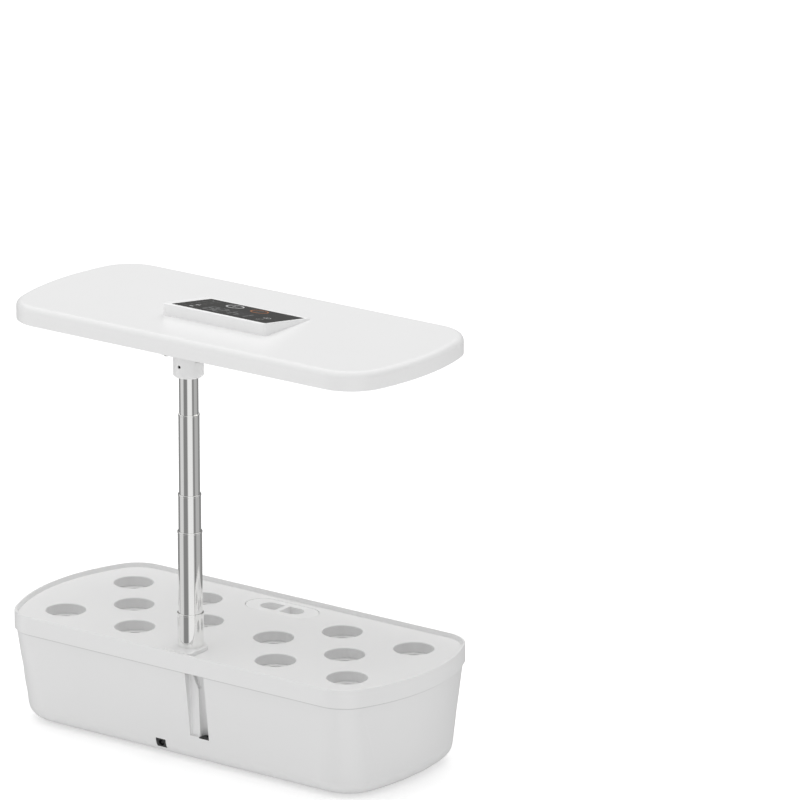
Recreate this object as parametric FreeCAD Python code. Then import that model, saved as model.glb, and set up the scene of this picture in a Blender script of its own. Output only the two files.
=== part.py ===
import FreeCAD, Part
import math
import os

# Countertop hydroponic garden, in millimetres.
# X runs along the tank, +Y points at the rear, where the lamp's pole and the sockets are, and Z is up.
# The origin is on the tabletop, under the middle of the tank.

# Overlap by which features of one moulding are joined, and by which a cutter runs past a face
join = 0.5
past = 1.0
sliver = 0.01

# Driving sizes: the tank and its deck
foot_stand = 1.5
tank_height = 82.2
deck_half_length = 200.0
deck_half_width = 89.4
deck_end_radius = 162.0
deck_corner_radius = 30.8
skirt_overhang = 1.6
tank_foot_end_inset = 12.3
tank_foot_side_inset = 11.8
tank_foot_end_radius = 281.0
tank_foot_corner_radius = 40.8
tank_foot_fillet = 15.0
tank_wall = 2.2
seam_gap = 0.3
skirt_height = 15.75
skirt_wall = 2.4
rim_width = 1.9
rim_slope = 1.3
rim_edge_round = 0.8
deck_recess = 3.5
deck_thickness = 2.4
tongue_drop = 4.0
tongue_wall = 1.8
tongue_clearance = 0.9

# Driving sizes: pods and grow baskets
pod_hole_radius = 17.0
pod_end_inset = 51.0
pod_row_inset = 43.1
pod_wall = 1.8
pod_ledge_depth = 10.9
pod_ledge_thickness = 1.6
pod_ledge_radius = 13.2
pod_edge_round = 1.0
basket_flange_clearance = 0.3
basket_flange_thickness = 1.6
basket_seat_gap = 0.3
basket_mouth_radius = 10.8
basket_body_clearance = 0.6
basket_wall = 1.3
basket_length = 42.0
basket_foot_radius = 9.4
basket_slot_count = 8
basket_slot_width = 2.6
basket_slot_margin = 8.0
basket_slot_lift = 4.0
basket_drain_radius = 2.2

# Driving sizes: filler cap
cap_x = 3.2
cap_length = 71.0
cap_width = 30.0
cap_inset = 24.4
cap_plate = 2.2
cap_clearance = 0.3
cap_seat_width = 3.0
cap_boss_wall = 1.7
cap_boss_depth = 8.0
cap_plug_inset = 4.7
cap_plug_depth = 8.4
cap_pocket_length = 43.0
cap_pocket_width = 15.5
cap_pocket_depth = 6.0
cap_grip_width = 7.0
cap_grip_top_width = 5.0
cap_seal_thickness = 1.5
cap_seal_height = 2.0
cap_seal_lift = 1.6
cap_edge_round = 0.6
cap_groove_room = 1.0

# Driving sizes: telescopic pole
pole_inset = 24.4
pole_top_radius = 8.1
pole_tube_wall = 0.45
pole_tube_gap = 0.25
pole_lip_height = 1.6
pole_lip_proud = 0.3
pole_lip_clearance = 0.08
pole_stage_length = 86.0
pole_glide_flange = 1.8
pole_glide_spigot = 1.8
pole_glide_bore = 4.0
pole_glide_clearance = 0.05
pole_socket_top = 127.4
pole_socket_bottom = 38.0
pole_stage_tops = (198.7, 230.9, 300.4, 348.0)
pole_plug_height = 3.6
pole_fit = 0.05
pole_well_wall = 1.45
pole_well_floor = 2.0
seat_half_width = 14.0
seat_back_inset = 3.4
seat_corner = 3.0
seat_edge_round = 0.8
seat_screw_x = 10.5
seat_screw_inset = 7.0
seat_screw_depth = 2.0
seat_screw_hole = 2.4

# Driving sizes: rear channel, bay and sockets
channel_centre_x = -20.8
channel_width = 19.6
channel_depth_low = 1.9
channel_depth_high = 6.2
channel_corner = 1.5
channel_wall = 1.8
duct_width = 10.5
duct_depth = 9.4
duct_corner = 3.5
funnel_height = 14.7
funnel_width = 6.5
bay_half_length = 48.0
bay_front_inset = 49.6
bay_height = 25.0
bay_wall = 2.0
hatch_half_length = 40.0
hatch_front_inset = 45.6
hatch_back_inset = 17.6
hatch_ledge = 3.0
hatch_plate = 1.6
hatch_clearance = 0.25
hatch_corner = 4.0
jack_x = 21.8
jack_z = 10.9
jack_width = 10.5
jack_height = 8.0
jack_depth = 14.0
jack_recess = 1.0
jack_skin = 0.4
jack_bore_radius = 2.75
jack_bore_depth = 9.5
jack_pin_radius = 1.0
jack_pin_recess = 0.8
lead_socket_radius = 2.7
lead_socket_fit = 0.05
lead_socket_wall_gap = 0.3
lead_socket_flange = 0.8
lead_socket_depth = 7.0
lead_socket_bore_radius = 1.7
power_board_length = 62.0
power_board_width = 26.0
board_thickness = 1.6
power_board_z = 9.0
bay_post_radius = 2.6
post_screw_room = 0.5
power_board_post_x = 27.0
capacitor_x = -20.0
capacitor_y = 3.0
capacitor_radius = 4.0
capacitor_height = 10.0
coil_x = -8.0
coil_y = -3.0
coil_radius = 5.0
coil_bore_radius = 2.0
coil_height = 5.0
driver_x = 7.0
driver_size = 10.0
driver_height = 1.6
regulator_x = 18.0
regulator_y = -0.5
regulator_length = 6.0
regulator_width = 7.0
regulator_height = 2.2
hatch_screw_inset = 4.0
board_screw_length = 5.0
hatch_screw_length = 6.0
grommet_roof_gap = 4.0
lead_socket_floor = 1.5
lead_pin_radius = 0.68
lead_pin_recess = 1.0

# Driving sizes: feet and fasteners
foot_radius = 7.0
foot_thickness = 2.6
foot_end_inset = 37.7
foot_side_inset = 29.6
screw_radius = 1.25
screw_head_radius = 2.4
screw_head_height = 1.4
screw_fit = 0.15
screw_cross_reach = 1.44
screw_cross_half_width = 0.336
foot_edge_round = 0.75

# Driving sizes: water pump
pump_x = 0.0
pump_bay_distance = 42.0
pump_length = 42.0
pump_width = 30.0
pump_body_height = 24.0
pump_wall = 2.0
pump_lift = 3.0
pump_corner = 4.0
pump_chamber_radius = 10.0
pump_chamber_depth = 11.0
pump_impeller_radius = 8.6
pump_impeller_height = 8.0
pump_blade_count = 6
pump_blade_thickness = 1.2
pump_shaft_radius = 1.1
pump_shaft_clearance = 0.08
pump_shaft_seat = 3.0
pump_nozzle_radius = 4.0
pump_nozzle_bore = 2.6
pump_nozzle_length = 10.0
pump_strainer_depth = 4.0
pump_strainer_plate = 1.4
pump_strainer_slots = 7
pump_strainer_slot = 1.6
pump_strainer_pitch = 4.4
pump_edge_round = 1.5
suction_cup_radius = 5.0
suction_cup_x = 15.0
suction_cup_y = 9.0
pump_lead_radius = 1.7
grommet_radius = 3.6
grommet_flange = 1.6
grommet_flange_radius = 5.2
pump_rotor_offset = 6.0
pump_hub_wall = 2.0
pump_bearing_wall = 1.5
pump_disc_thickness = 1.2
pump_disc_inset = 1.0
pump_blade_step = 0.6
pump_passage_width = 3.0
pump_passage_start = 3.0
pump_passage_inset = 2.0
pump_passage_height = 2.0
pump_outlet_floor = 1.0
pump_lead_seat = 5.0
pump_lead_reach = 6.0
suction_cup_neck_radius = 2.0

# Driving sizes: lamp
lamp_underside = 352.25
lamp_thickness = 15.8
lamp_half_length = 195.5
lamp_half_width = 83.7
lamp_end_radius = 219.0
lamp_corner_radius = 37.6
lamp_back_reach = 16.2
lamp_top_fillet = 5.5
lamp_wall = 2.0
lamp_frame_height = 2.4
lamp_frame_lip = 0.2
lamp_window_end_inset = 17.5
lamp_window_front_inset = 18.2
lamp_window_back_inset = 41.2
lamp_window_corner = 24.0
lamp_lens_thickness = 1.5
lamp_lens_overlap = 4.0
led_board_drop = 4.4
led_board_margin = 5.0
led_columns = 20
led_rows = 6
led_end_inset = 16.5
led_side_inset = 10.25
led_length = 3.5
led_width = 2.8
led_height = 0.8
red_led_every = 5
lamp_post_radius = 3.6
lamp_post_end_inset = 37.5
lamp_post_inner_x = 58.0
lamp_post_inset = 10.0
board_post_end_inset = 28.0
board_post_inset = 14.0
frame_screw_depth = 6.0
led_board_screw_depth = 4.0
collar_radius = 12.7
collar_bottom = 332.8
collar_chamfer = 1.4
collar_plate_half_length = 20.5
collar_plate_front_reach = 16.0
collar_plate_back_reach = 12.3
collar_plate_thickness = 2.0
collar_plate_corner = 1.5
collar_plate_screw_x = 16.2
collar_plate_screw_inset = 4.3
collar_screw_z = 343.0
collar_screw_radius = 1.5
collar_screw_drive = 1.5
collar_screw_recess = 1.2
collar_drive_radius = 0.75
lead_hole_radius = 5.0
wire_hole_length = 24.0
wire_hole_width = 10.0
wire_hole_setback = 30.0

# Driving sizes: control pod
pod_half_length = 54.0
pod_depth = 61.0
pod_back_reach = 34.0
pod_front_height = 1.2
pod_back_height = 10.5
pod_back_bevel = 0.8
pod_corner = 3.0
pod_shell = 1.8
panel_length = 98.0
panel_centre_x = -3.0
panel_front_border = 4.8
panel_back_border = 1.5
panel_thickness = 1.5
panel_corner = 1.5
display_length = 52.0
display_width = 22.0
display_offset = 10.6
display_centre_x = -1.5
display_height = 2.6
display_corner = 0.5
panel_fit = 0.1
pod_ledge_side = 4.0
pod_ledge_front = 12.0
pod_ledge_back = 4.0
control_board_edge = 2.5
control_board_thickness = 0.8

# Levels worked out from the driving sizes
tank_bottom = foot_stand
tank_top = tank_bottom + tank_height
skirt_bottom = tank_top + seam_gap
rim_top = skirt_bottom + skirt_height
deck_top = rim_top - deck_recess
deck_under = deck_top - deck_thickness
pod_ledge_top = deck_top - pod_ledge_depth
basket_top = pod_ledge_top + basket_seat_gap + basket_flange_thickness
bay_top = tank_bottom + bay_height
lamp_bottom = tank_bottom + lamp_underside
lamp_top = lamp_bottom + lamp_thickness

# Outlines: half length, half width, end arc radius, corner arc radius
tank_foot_half_length = deck_half_length - tank_foot_end_inset
tank_foot_half_width = deck_half_width - tank_foot_side_inset
bay_front_y = tank_foot_half_width - bay_front_inset
hatch_front_y = tank_foot_half_width - hatch_front_inset
hatch_back_y = tank_foot_half_width - hatch_back_inset
foot_x = tank_foot_half_length - foot_end_inset
foot_y = tank_foot_half_width - foot_side_inset
pump_y = bay_front_y - pump_bay_distance
pod_pitch_x = (deck_half_length - pod_end_inset) / 2
pod_row_y = deck_half_width - pod_row_inset
cap_y = cap_inset - deck_half_width
pole_y = deck_half_width - pole_inset
lamp_centre_y = pole_y + lamp_back_reach - lamp_half_width
lamp_window_half_length = lamp_half_length - lamp_window_end_inset
lamp_window_front_y = lamp_centre_y - lamp_half_width + lamp_window_front_inset
lamp_window_back_y = lamp_centre_y + lamp_half_width - lamp_window_back_inset
led_pitch_x = 2 * (lamp_window_half_length - led_end_inset) / (led_columns - 1)
led_pitch_y = (lamp_window_back_y - lamp_window_front_y - 2 * led_side_inset) / (led_rows - 1)
lamp_post_end_x = lamp_half_length - lamp_post_end_inset
lamp_post_x = (-lamp_post_end_x, -lamp_post_inner_x, lamp_post_inner_x, lamp_post_end_x)
board_post_x = lamp_window_half_length - board_post_end_inset
collar_plate_front_y = pole_y - collar_plate_front_reach
collar_plate_back_y = pole_y + collar_plate_back_reach
pod_back_y = pole_y - pod_back_reach
pod_front_y = pod_back_y - pod_depth
wire_hole_y = pod_back_y - wire_hole_setback

deck_form = (deck_half_length, deck_half_width, deck_end_radius, deck_corner_radius)
tank_foot_form = (tank_foot_half_length, tank_foot_half_width, tank_foot_end_radius, tank_foot_corner_radius)
lamp_form = (lamp_half_length, lamp_half_width, lamp_end_radius, lamp_corner_radius)

pole_socket_radius = pole_top_radius + 4 * (pole_tube_wall + pole_tube_gap)
pole_well_radius = pole_socket_radius + pole_fit + pole_well_wall


def vec(x, y, z):
    return FreeCAD.Vector(x, y, z)


def inset(form, distance):
    """The same outline, moved inwards by a distance all round."""
    return tuple(size - distance for size in form)


tank_top_form = inset(deck_form, skirt_overhang)


def outline(form, z, centre_y=0.0):
    """A closed wire: straight long sides, bowed ends, and a corner arc tangent to each pair."""
    half_length, half_width, end_radius, corner_radius = form
    end_x = half_length - end_radius
    corner_y = half_width - corner_radius
    corner_x = end_x + math.sqrt((end_radius - corner_radius) ** 2 - corner_y ** 2)
    lean = math.atan2(corner_y, corner_x - end_x)
    middle = (lean + math.pi / 2) / 2
    edges = []

    def corner_point(angle, side_x, side_y):
        x = corner_x + corner_radius * math.cos(angle)
        y = corner_y + corner_radius * math.sin(angle)
        return vec(side_x * x, centre_y + side_y * y, z)

    def corner_arc(side_x, side_y, first, last):
        ends = [corner_point(angle, side_x, side_y) for angle in (first, middle, last)]
        edges.append(Part.Arc(*ends).toShape())

    def end_arc(side_x):
        low = corner_point(lean, side_x, -side_x)
        high = corner_point(lean, side_x, side_x)
        edges.append(Part.Arc(low, vec(side_x * half_length, centre_y, z), high).toShape())

    def long_side(side_y):
        start = corner_point(math.pi / 2, side_y, side_y)
        finish = corner_point(math.pi / 2, -side_y, side_y)
        edges.append(Part.LineSegment(start, finish).toShape())

    end_arc(1)
    corner_arc(1, 1, lean, math.pi / 2)
    long_side(1)
    corner_arc(-1, 1, math.pi / 2, lean)
    end_arc(-1)
    corner_arc(-1, -1, lean, math.pi / 2)
    long_side(-1)
    corner_arc(1, -1, math.pi / 2, lean)
    return Part.Wire(edges)


def slab(form, z_low, z_high, centre_y=0.0):
    """A straight-sided plate of an outline."""
    return Part.Face(outline(form, z_low, centre_y)).extrude(vec(0, 0, z_high - z_low))


def tapered(low_form, z_low, high_form, z_high):
    """A body whose sides run straight from one outline to another."""
    return Part.makeLoft([outline(low_form, z_low), outline(high_form, z_high)], True, True)


def box(x_low, x_high, y_low, y_high, z_low, z_high):
    size = (x_high - x_low, y_high - y_low, z_high - z_low)
    return Part.makeBox(*size, vec(x_low, y_low, z_low))


def rounded_box(x_low, x_high, y_low, y_high, z_low, z_high, radius):
    """A box whose four upright edges are rounded."""
    solid = box(x_low, x_high, y_low, y_high, z_low, z_high)
    upright = [edge for edge in solid.Edges if abs(edge.tangentAt(edge.FirstParameter).z) > 0.9]
    return solid.makeFillet(radius, upright)


def disc(x, y, z_low, z_high, radius):
    return Part.makeCylinder(radius, z_high - z_low, vec(x, y, z_low))


def ring(x, y, z_low, z_high, outer, inner):
    return disc(x, y, z_low, z_high, outer).cut(disc(x, y, z_low, z_high, inner))


def stadium(x, y, z_low, z_high, length, width):
    """A plate with straight sides and half-round ends, along X."""
    reach = (length - width) / 2
    middle = box(x - reach, x + reach, y - width / 2, y + width / 2, z_low, z_high)
    ends = [disc(x + side * reach, y, z_low, z_high, width / 2) for side in (-1, 1)]
    return middle.multiFuse(ends).removeSplitter()


def edges_at(solid, z, reach=1e-4):
    """The edges of a solid that lie flat at one level."""
    def flat(edge):
        bounds = edge.BoundBox
        return abs(bounds.ZMin - z) < reach and abs(bounds.ZMax - z) < reach
    return [edge for edge in solid.Edges if flat(edge)]


def screw(x, y, head_z, length, side):
    """A pan-head screw: side 1 has its head above head_z, side -1 below it."""
    head_low, head_high = sorted((head_z, head_z + side * screw_head_height))
    shank_low, shank_high = sorted((head_z, head_z - side * length))
    head = disc(x, y, head_low, head_high, screw_head_radius)
    drive_depth = screw_head_height / 2
    drive_low, drive_high = sorted((head_z + side * drive_depth, head_z + side * screw_head_height))
    arm = screw_cross_reach
    slot = screw_cross_half_width
    cross = box(x - arm, x + arm, y - slot, y + slot, drive_low, drive_high)
    cross = cross.fuse(box(x - slot, x + slot, y - arm, y + arm, drive_low, drive_high))
    return head.fuse(disc(x, y, shank_low, shank_high, screw_radius)).cut(cross)


def group(solids):
    return Part.makeCompound(solids)


def save(name, shape):
    shape.exportStep("parts/" + name + ".step")


# Tank
tank_floor_top = tank_bottom + tank_wall


def wall_y(z):
    """Where the outer face of the rear wall stands at a height."""
    share = (z - tank_bottom) / tank_height
    return tank_foot_half_width + share * (tank_top_form[1] - tank_foot_half_width)


def tank_block():
    """The tank's outer volume: drafted sides and a well-rounded foot."""
    block = tapered(tank_foot_form, tank_bottom, tank_top_form, tank_top)
    return block.makeFillet(tank_foot_fillet, edges_at(block, tank_bottom))


def tank_hollow():
    """The room inside the walls, open above."""
    low = inset(tank_foot_form, tank_wall)
    high = inset(tank_top_form, tank_wall)
    hollow = tapered(low, tank_floor_top, high, tank_top + sliver)
    return hollow.makeFillet(tank_foot_fillet - tank_wall, edges_at(hollow, tank_floor_top))


def groove_block(x_low, x_high, depth_low, depth_high, corner, z_low, z_high):
    """A groove in the rear wall: its back runs from one depth at z_low to another at z_high."""
    sections = []
    for z, depth in ((z_low, depth_low), (z_high, depth_high)):
        back = wall_y(z) - depth
        front = wall_y(z) + duct_depth
        bend = corner * (1 - math.sqrt(0.5))
        points = [vec(x_low, front, z), vec(x_low, back + corner, z), vec(x_low + bend, back + bend, z),
                  vec(x_low + corner, back, z), vec(x_high - corner, back, z),
                  vec(x_high - bend, back + bend, z), vec(x_high, back + corner, z), vec(x_high, front, z)]
        edges = [Part.LineSegment(points[0], points[1]).toShape(),
                 Part.Arc(points[1], points[2], points[3]).toShape(),
                 Part.LineSegment(points[3], points[4]).toShape(),
                 Part.Arc(points[4], points[5], points[6]).toShape(),
                 Part.LineSegment(points[6], points[7]).toShape(),
                 Part.LineSegment(points[7], points[0]).toShape()]
        sections.append(Part.Wire(edges))
    return Part.makeLoft(sections, True, True)


channel_x_low = channel_centre_x - channel_width / 2
channel_x_high = channel_centre_x + channel_width / 2
duct_x_high = channel_x_low + duct_width


def channel_depth(z):
    """How deep the shallow channel is at a height."""
    share = (z - bay_top) / (tank_top - bay_top)
    return channel_depth_low + share * (channel_depth_high - channel_depth_low)


def shallow_channel(grow, z_low, z_high):
    return groove_block(channel_x_low - grow, channel_x_high + grow, channel_depth(z_low) + grow,
                        channel_depth(z_high) + grow, channel_corner + grow, z_low, z_high)


def lead_duct(grow, z_low, z_high):
    return groove_block(channel_x_low - grow, duct_x_high + grow, duct_depth + grow, duct_depth + grow,
                        duct_corner + grow, z_low, z_high)


def duct_funnel(grow, z_high):
    """The slanting side that widens the duct's top, so the lead finds its way in."""
    back = wall_y(tank_top) - duct_depth - grow
    x_low = duct_x_high - duct_corner
    z_low = tank_top - funnel_height
    slope = funnel_height / funnel_width
    x_high = duct_x_high + grow + (z_high - z_low) / slope
    points = [vec(x_low, back, z_low), vec(duct_x_high + grow, back, z_low), vec(x_high, back, z_high),
              vec(x_low, back, z_high)]
    face = Part.Face(Part.makePolygon(points + points[:1]))
    return face.extrude(vec(0, 2 * duct_depth, 0))


def channel_block(grow, z_low, z_high):
    """The rear channel's room, or with grow the wall round it: a shallow channel and a deep duct in it."""
    room = shallow_channel(grow, z_low, z_high).fuse(lead_duct(grow, z_low, z_high))
    return room.fuse(duct_funnel(grow, z_high))


def hatch_opening(grow, z_low, z_high):
    return rounded_box(-hatch_half_length - grow, hatch_half_length + grow, hatch_front_y - grow,
                       hatch_back_y + grow, z_low, z_high, hatch_corner + grow)


hatch_screw_x = hatch_half_length - hatch_screw_inset
hatch_screw_y = (hatch_front_y + hatch_screw_inset, hatch_back_y - hatch_screw_inset)
hatch_screw_spots = [(x, y) for x in (-hatch_screw_x, hatch_screw_x) for y in hatch_screw_y]
power_board_y = (hatch_front_y + hatch_back_y) / 2
power_board_spots = [(side * power_board_post_x, power_board_y) for side in (-1, 1)]
grommet_x = pump_x
grommet_z = bay_top - grommet_flange_radius - grommet_roof_gap


def bay_post(x, y, bottom, hole_length):
    """A post that hangs from the bay's roof, and the screw hole in its foot."""
    post = disc(x, y, bottom, bay_top - bay_wall + join, bay_post_radius)
    return post, disc(x, y, bottom, bottom + hole_length + post_screw_room, screw_radius)


def tank_shell():
    block = tank_block()
    hollow = tank_hollow()
    far = 2 * deck_half_width
    dry = box(-bay_half_length, bay_half_length, bay_front_y, far, 0, bay_top)
    back_wall = channel_block(channel_wall, bay_top - bay_wall, tank_top + past)
    water = hollow.cut(dry).cut(back_wall)
    shell = block.cut(water)
    room = box(-bay_half_length + bay_wall, bay_half_length - bay_wall, bay_front_y + bay_wall, far,
               0, bay_top - bay_wall)
    shell = shell.cut(hollow.common(room))
    shell = shell.cut(channel_block(0, bay_top, tank_top + past))
    shell = shell.cut(hatch_opening(0, tank_bottom - past, tank_bottom + hatch_plate))
    shell = shell.cut(hatch_opening(-hatch_ledge, tank_bottom - past, tank_floor_top + past))
    posts = [bay_post(x, y, tank_bottom + hatch_plate, hatch_screw_length) for x, y in hatch_screw_spots]
    board_top = tank_bottom + power_board_z + board_thickness
    posts += [bay_post(x, y, board_top, board_screw_length) for x, y in power_board_spots]
    shell = shell.multiFuse([post for post, hole in posts])
    for post, hole in posts:
        shell = shell.cut(hole)
    shell = shell.cut(jack_block(deck_half_width))
    shell = shell.cut(lead_duct(0, bay_top - lead_socket_flange, bay_top + join))
    shell = shell.cut(disc(lead_socket_x, lead_socket_y, bay_top - bay_wall - past, bay_top + past,
                           lead_socket_radius))
    shell = shell.cut(grommet_hole())
    for x, y in foot_spots:
        shell = shell.cut(disc(x, y, tank_bottom - past, foot_stand + foot_seat, foot_radius))
    return shell


foot_spots = [(x, y) for x in (-foot_x, foot_x) for y in (-foot_y, foot_y)]
foot_seat = foot_thickness - foot_stand


def rubber_foot(x, y):
    foot = disc(x, y, 0, foot_thickness, foot_radius)
    return foot.makeFillet(foot_edge_round, edges_at(foot, 0))


def bottom_cover():
    plate = hatch_opening(-hatch_clearance, tank_bottom, tank_bottom + hatch_plate)
    for x, y in hatch_screw_spots:
        plate = plate.cut(disc(x, y, tank_bottom, tank_bottom + hatch_plate, screw_radius + screw_fit))
    return plate


def bottom_cover_screws():
    """Low-head screws: the heads stand in the gap that the feet leave under the tank."""
    length = hatch_plate + hatch_screw_length
    return group([screw(x, y, tank_bottom, length, -1) for x, y in hatch_screw_spots])


# Sockets
jack_face_y = wall_y(tank_bottom + jack_z) - jack_recess
lead_socket_x = channel_x_low + duct_width / 2
lead_socket_y = wall_y(bay_top - lead_socket_depth) - tank_wall - lead_socket_wall_gap - lead_socket_radius


def jack_block(y_high):
    """The jack's square body, from its back end in the bay to y_high."""
    z = tank_bottom + jack_z
    return box(jack_x - jack_width / 2, jack_x + jack_width / 2, jack_face_y - jack_depth, y_high,
               z - jack_height / 2, z + jack_height / 2)


def dc_jack():
    """A barrel socket: a black block, moulded to the wall's curve, with a round bore and a centre pin."""
    z = tank_bottom + jack_z
    wall = tank_block()
    wall.translate(vec(0, -jack_skin, 0))
    body = jack_block(deck_half_width).common(wall)
    bore_start = vec(jack_x, jack_face_y + past, z)
    bore = Part.makeCylinder(jack_bore_radius, jack_bore_depth + past, bore_start, vec(0, -1, 0))
    pin_start = vec(jack_x, jack_face_y - jack_pin_recess, z)
    pin = Part.makeCylinder(jack_pin_radius, jack_bore_depth, pin_start, vec(0, -1, 0))
    return body.cut(bore).fuse(pin)


def lead_socket():
    """The round socket that the lamp's lead plugs into. Its D-shaped flange is the duct's floor."""
    x, y = lead_socket_x, lead_socket_y
    flange_low = bay_top - lead_socket_flange
    body = disc(x, y, bay_top - lead_socket_depth, flange_low + join, lead_socket_radius)
    flange = lead_duct(-lead_socket_fit, flange_low, bay_top).common(tank_block())
    bore_bottom = bay_top - lead_socket_depth + lead_socket_floor
    bore = disc(x, y, bore_bottom, bay_top + past, lead_socket_bore_radius)
    pin = disc(x, y, bore_bottom, bay_top - lead_pin_recess, lead_pin_radius)
    return body.fuse(flange).cut(bore).fuse(pin)


def power_board():
    z = tank_bottom + power_board_z
    half = power_board_length / 2
    wide = power_board_width / 2
    board = box(-half, half, power_board_y - wide, power_board_y + wide, z, z + board_thickness)
    for x, y in power_board_spots:
        board = board.cut(disc(x, y, z, z + board_thickness, screw_radius + screw_fit))
    return board


def chip(x, y, z, length, width, height):
    return box(x - length / 2, x + length / 2, y - width / 2, y + width / 2, z, z + height)


def power_board_parts():
    """A capacitor, a coil and two chips, standing on the board."""
    z = tank_bottom + power_board_z + board_thickness
    y = power_board_y
    capacitor = disc(capacitor_x, y + capacitor_y, z, z + capacitor_height, capacitor_radius)
    coil = ring(coil_x, y + coil_y, z, z + coil_height, coil_radius, coil_bore_radius)
    driver = chip(driver_x, y, z, driver_size, driver_size, driver_height)
    regulator = chip(regulator_x, y + regulator_y, z, regulator_length, regulator_width, regulator_height)
    return group([capacitor, coil, driver, regulator])


def board_screws():
    z = tank_bottom + power_board_z
    return group([screw(x, y, z, board_thickness + board_screw_length, -1) for x, y in power_board_spots])


# Water pump
pump_floor = tank_floor_top + pump_lift
pump_top = pump_floor + pump_body_height
pump_chamber_bottom = pump_floor + pump_strainer_depth
pump_chamber_top = pump_chamber_bottom + pump_chamber_depth
pump_x_low = pump_x - pump_length / 2
pump_x_high = pump_x + pump_length / 2
pump_y_low = pump_y - pump_width / 2
pump_y_high = pump_y + pump_width / 2
pump_rotor_x = pump_x - pump_rotor_offset
nozzle_x = pump_rotor_x
lead_exit_z = grommet_z


def suction_cups():
    """Four rubber cups under the pump that hold it to the tank's floor."""
    cups = []
    for side_x in (-1, 1):
        for side_y in (-1, 1):
            x = pump_x + side_x * suction_cup_x
            y = pump_y + side_y * suction_cup_y
            low, high = tank_floor_top, pump_floor
            cone = Part.makeCone(suction_cup_radius, suction_cup_neck_radius, high - low, vec(x, y, low))
            cups.append(cone)
    return group(cups)


def pump_block(shrink, z_low, z_high):
    """The pump's plan shape, pulled in by shrink all round."""
    return rounded_box(pump_x_low + shrink, pump_x_high - shrink, pump_y_low + shrink, pump_y_high - shrink,
                       z_low, z_high, pump_corner - shrink)


def pump_body():
    body = pump_block(0, pump_chamber_bottom, pump_top)
    body = body.makeFillet(pump_edge_round, edges_at(body, pump_top))
    nozzle = disc(nozzle_x, pump_y, pump_top - join, pump_top + pump_nozzle_length, pump_nozzle_radius)
    body = body.fuse(nozzle)
    chamber = disc(pump_rotor_x, pump_y, pump_chamber_bottom, pump_chamber_top, pump_chamber_radius)
    body = body.cut(chamber)
    body = body.cut(disc(pump_rotor_x, pump_y, pump_chamber_top, pump_chamber_top + pump_shaft_seat,
                         pump_shaft_radius))
    outlet_bottom = pump_chamber_top + pump_shaft_seat + pump_outlet_floor
    passage_top = outlet_bottom + pump_passage_height
    body = body.cut(disc(nozzle_x, pump_y, outlet_bottom, pump_top + pump_nozzle_length, pump_nozzle_bore))
    side = pump_rotor_x + pump_chamber_radius - pump_passage_inset
    half = pump_passage_width / 2
    body = body.cut(box(pump_rotor_x + pump_passage_start, side, pump_y - half, pump_y + half,
                        pump_chamber_top - past, passage_top))
    body = body.cut(box(pump_rotor_x, side, pump_y - half, pump_y + half, outlet_bottom, passage_top))
    hole_start = vec(pump_x, pump_y_high, lead_exit_z)
    return body.cut(Part.makeCylinder(pump_lead_radius, pump_lead_seat, hole_start, vec(0, -1, 0)))


def pump_strainer():
    """The slotted cover under the pump that the water is drawn through."""
    room_bottom = pump_floor + pump_strainer_plate
    cover = pump_block(0, pump_floor, pump_chamber_bottom)
    cover = cover.cut(pump_block(pump_wall, room_bottom, pump_chamber_bottom))
    hub = disc(pump_rotor_x, pump_y, pump_floor, pump_chamber_bottom, pump_shaft_radius + pump_bearing_wall)
    cover = cover.fuse(hub)
    socket = disc(pump_rotor_x, pump_y, room_bottom, pump_chamber_bottom, pump_shaft_radius)
    cover = cover.cut(socket)
    for index in range(pump_strainer_slots):
        x = pump_x + (index - (pump_strainer_slots - 1) / 2) * pump_strainer_pitch
        for wall_y_middle in (pump_y_low + pump_wall / 2, pump_y_high - pump_wall / 2):
            reach = pump_wall / 2 + past
            slot = box(x - pump_strainer_slot / 2, x + pump_strainer_slot / 2, wall_y_middle - reach,
                       wall_y_middle + reach, room_bottom, pump_chamber_bottom - pump_strainer_slot / 2)
            cover = cover.cut(slot)
    return cover


def pump_shaft():
    """A steel pin, held at both ends, that the impeller turns on."""
    low = pump_floor + pump_strainer_plate
    return disc(pump_rotor_x, pump_y, low, pump_chamber_top + pump_shaft_seat, pump_shaft_radius)


def pump_impeller():
    low = pump_chamber_bottom + (pump_chamber_depth - pump_impeller_height) / 2
    high = low + pump_impeller_height
    hub_radius = pump_shaft_radius + pump_hub_wall
    wheel = disc(pump_rotor_x, pump_y, low, high, hub_radius)
    wheel = wheel.fuse(disc(pump_rotor_x, pump_y, high - pump_disc_thickness, high,
                            pump_impeller_radius - pump_disc_inset))
    for index in range(pump_blade_count):
        blade = box(pump_rotor_x + hub_radius - join, pump_rotor_x + pump_impeller_radius,
                    pump_y - pump_blade_thickness / 2, pump_y + pump_blade_thickness / 2, low,
                    high - pump_blade_step)
        blade.rotate(vec(pump_rotor_x, pump_y, 0), vec(0, 0, 1), index * 360.0 / pump_blade_count)
        wheel = wheel.fuse(blade)
    bore = disc(pump_rotor_x, pump_y, low, high, pump_shaft_radius + pump_shaft_clearance)
    return wheel.cut(bore)


def grommet_hole():
    start = vec(grommet_x, bay_front_y - past, grommet_z)
    return Part.makeCylinder(grommet_radius, bay_wall + 2 * past, start, vec(0, 1, 0))


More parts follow.
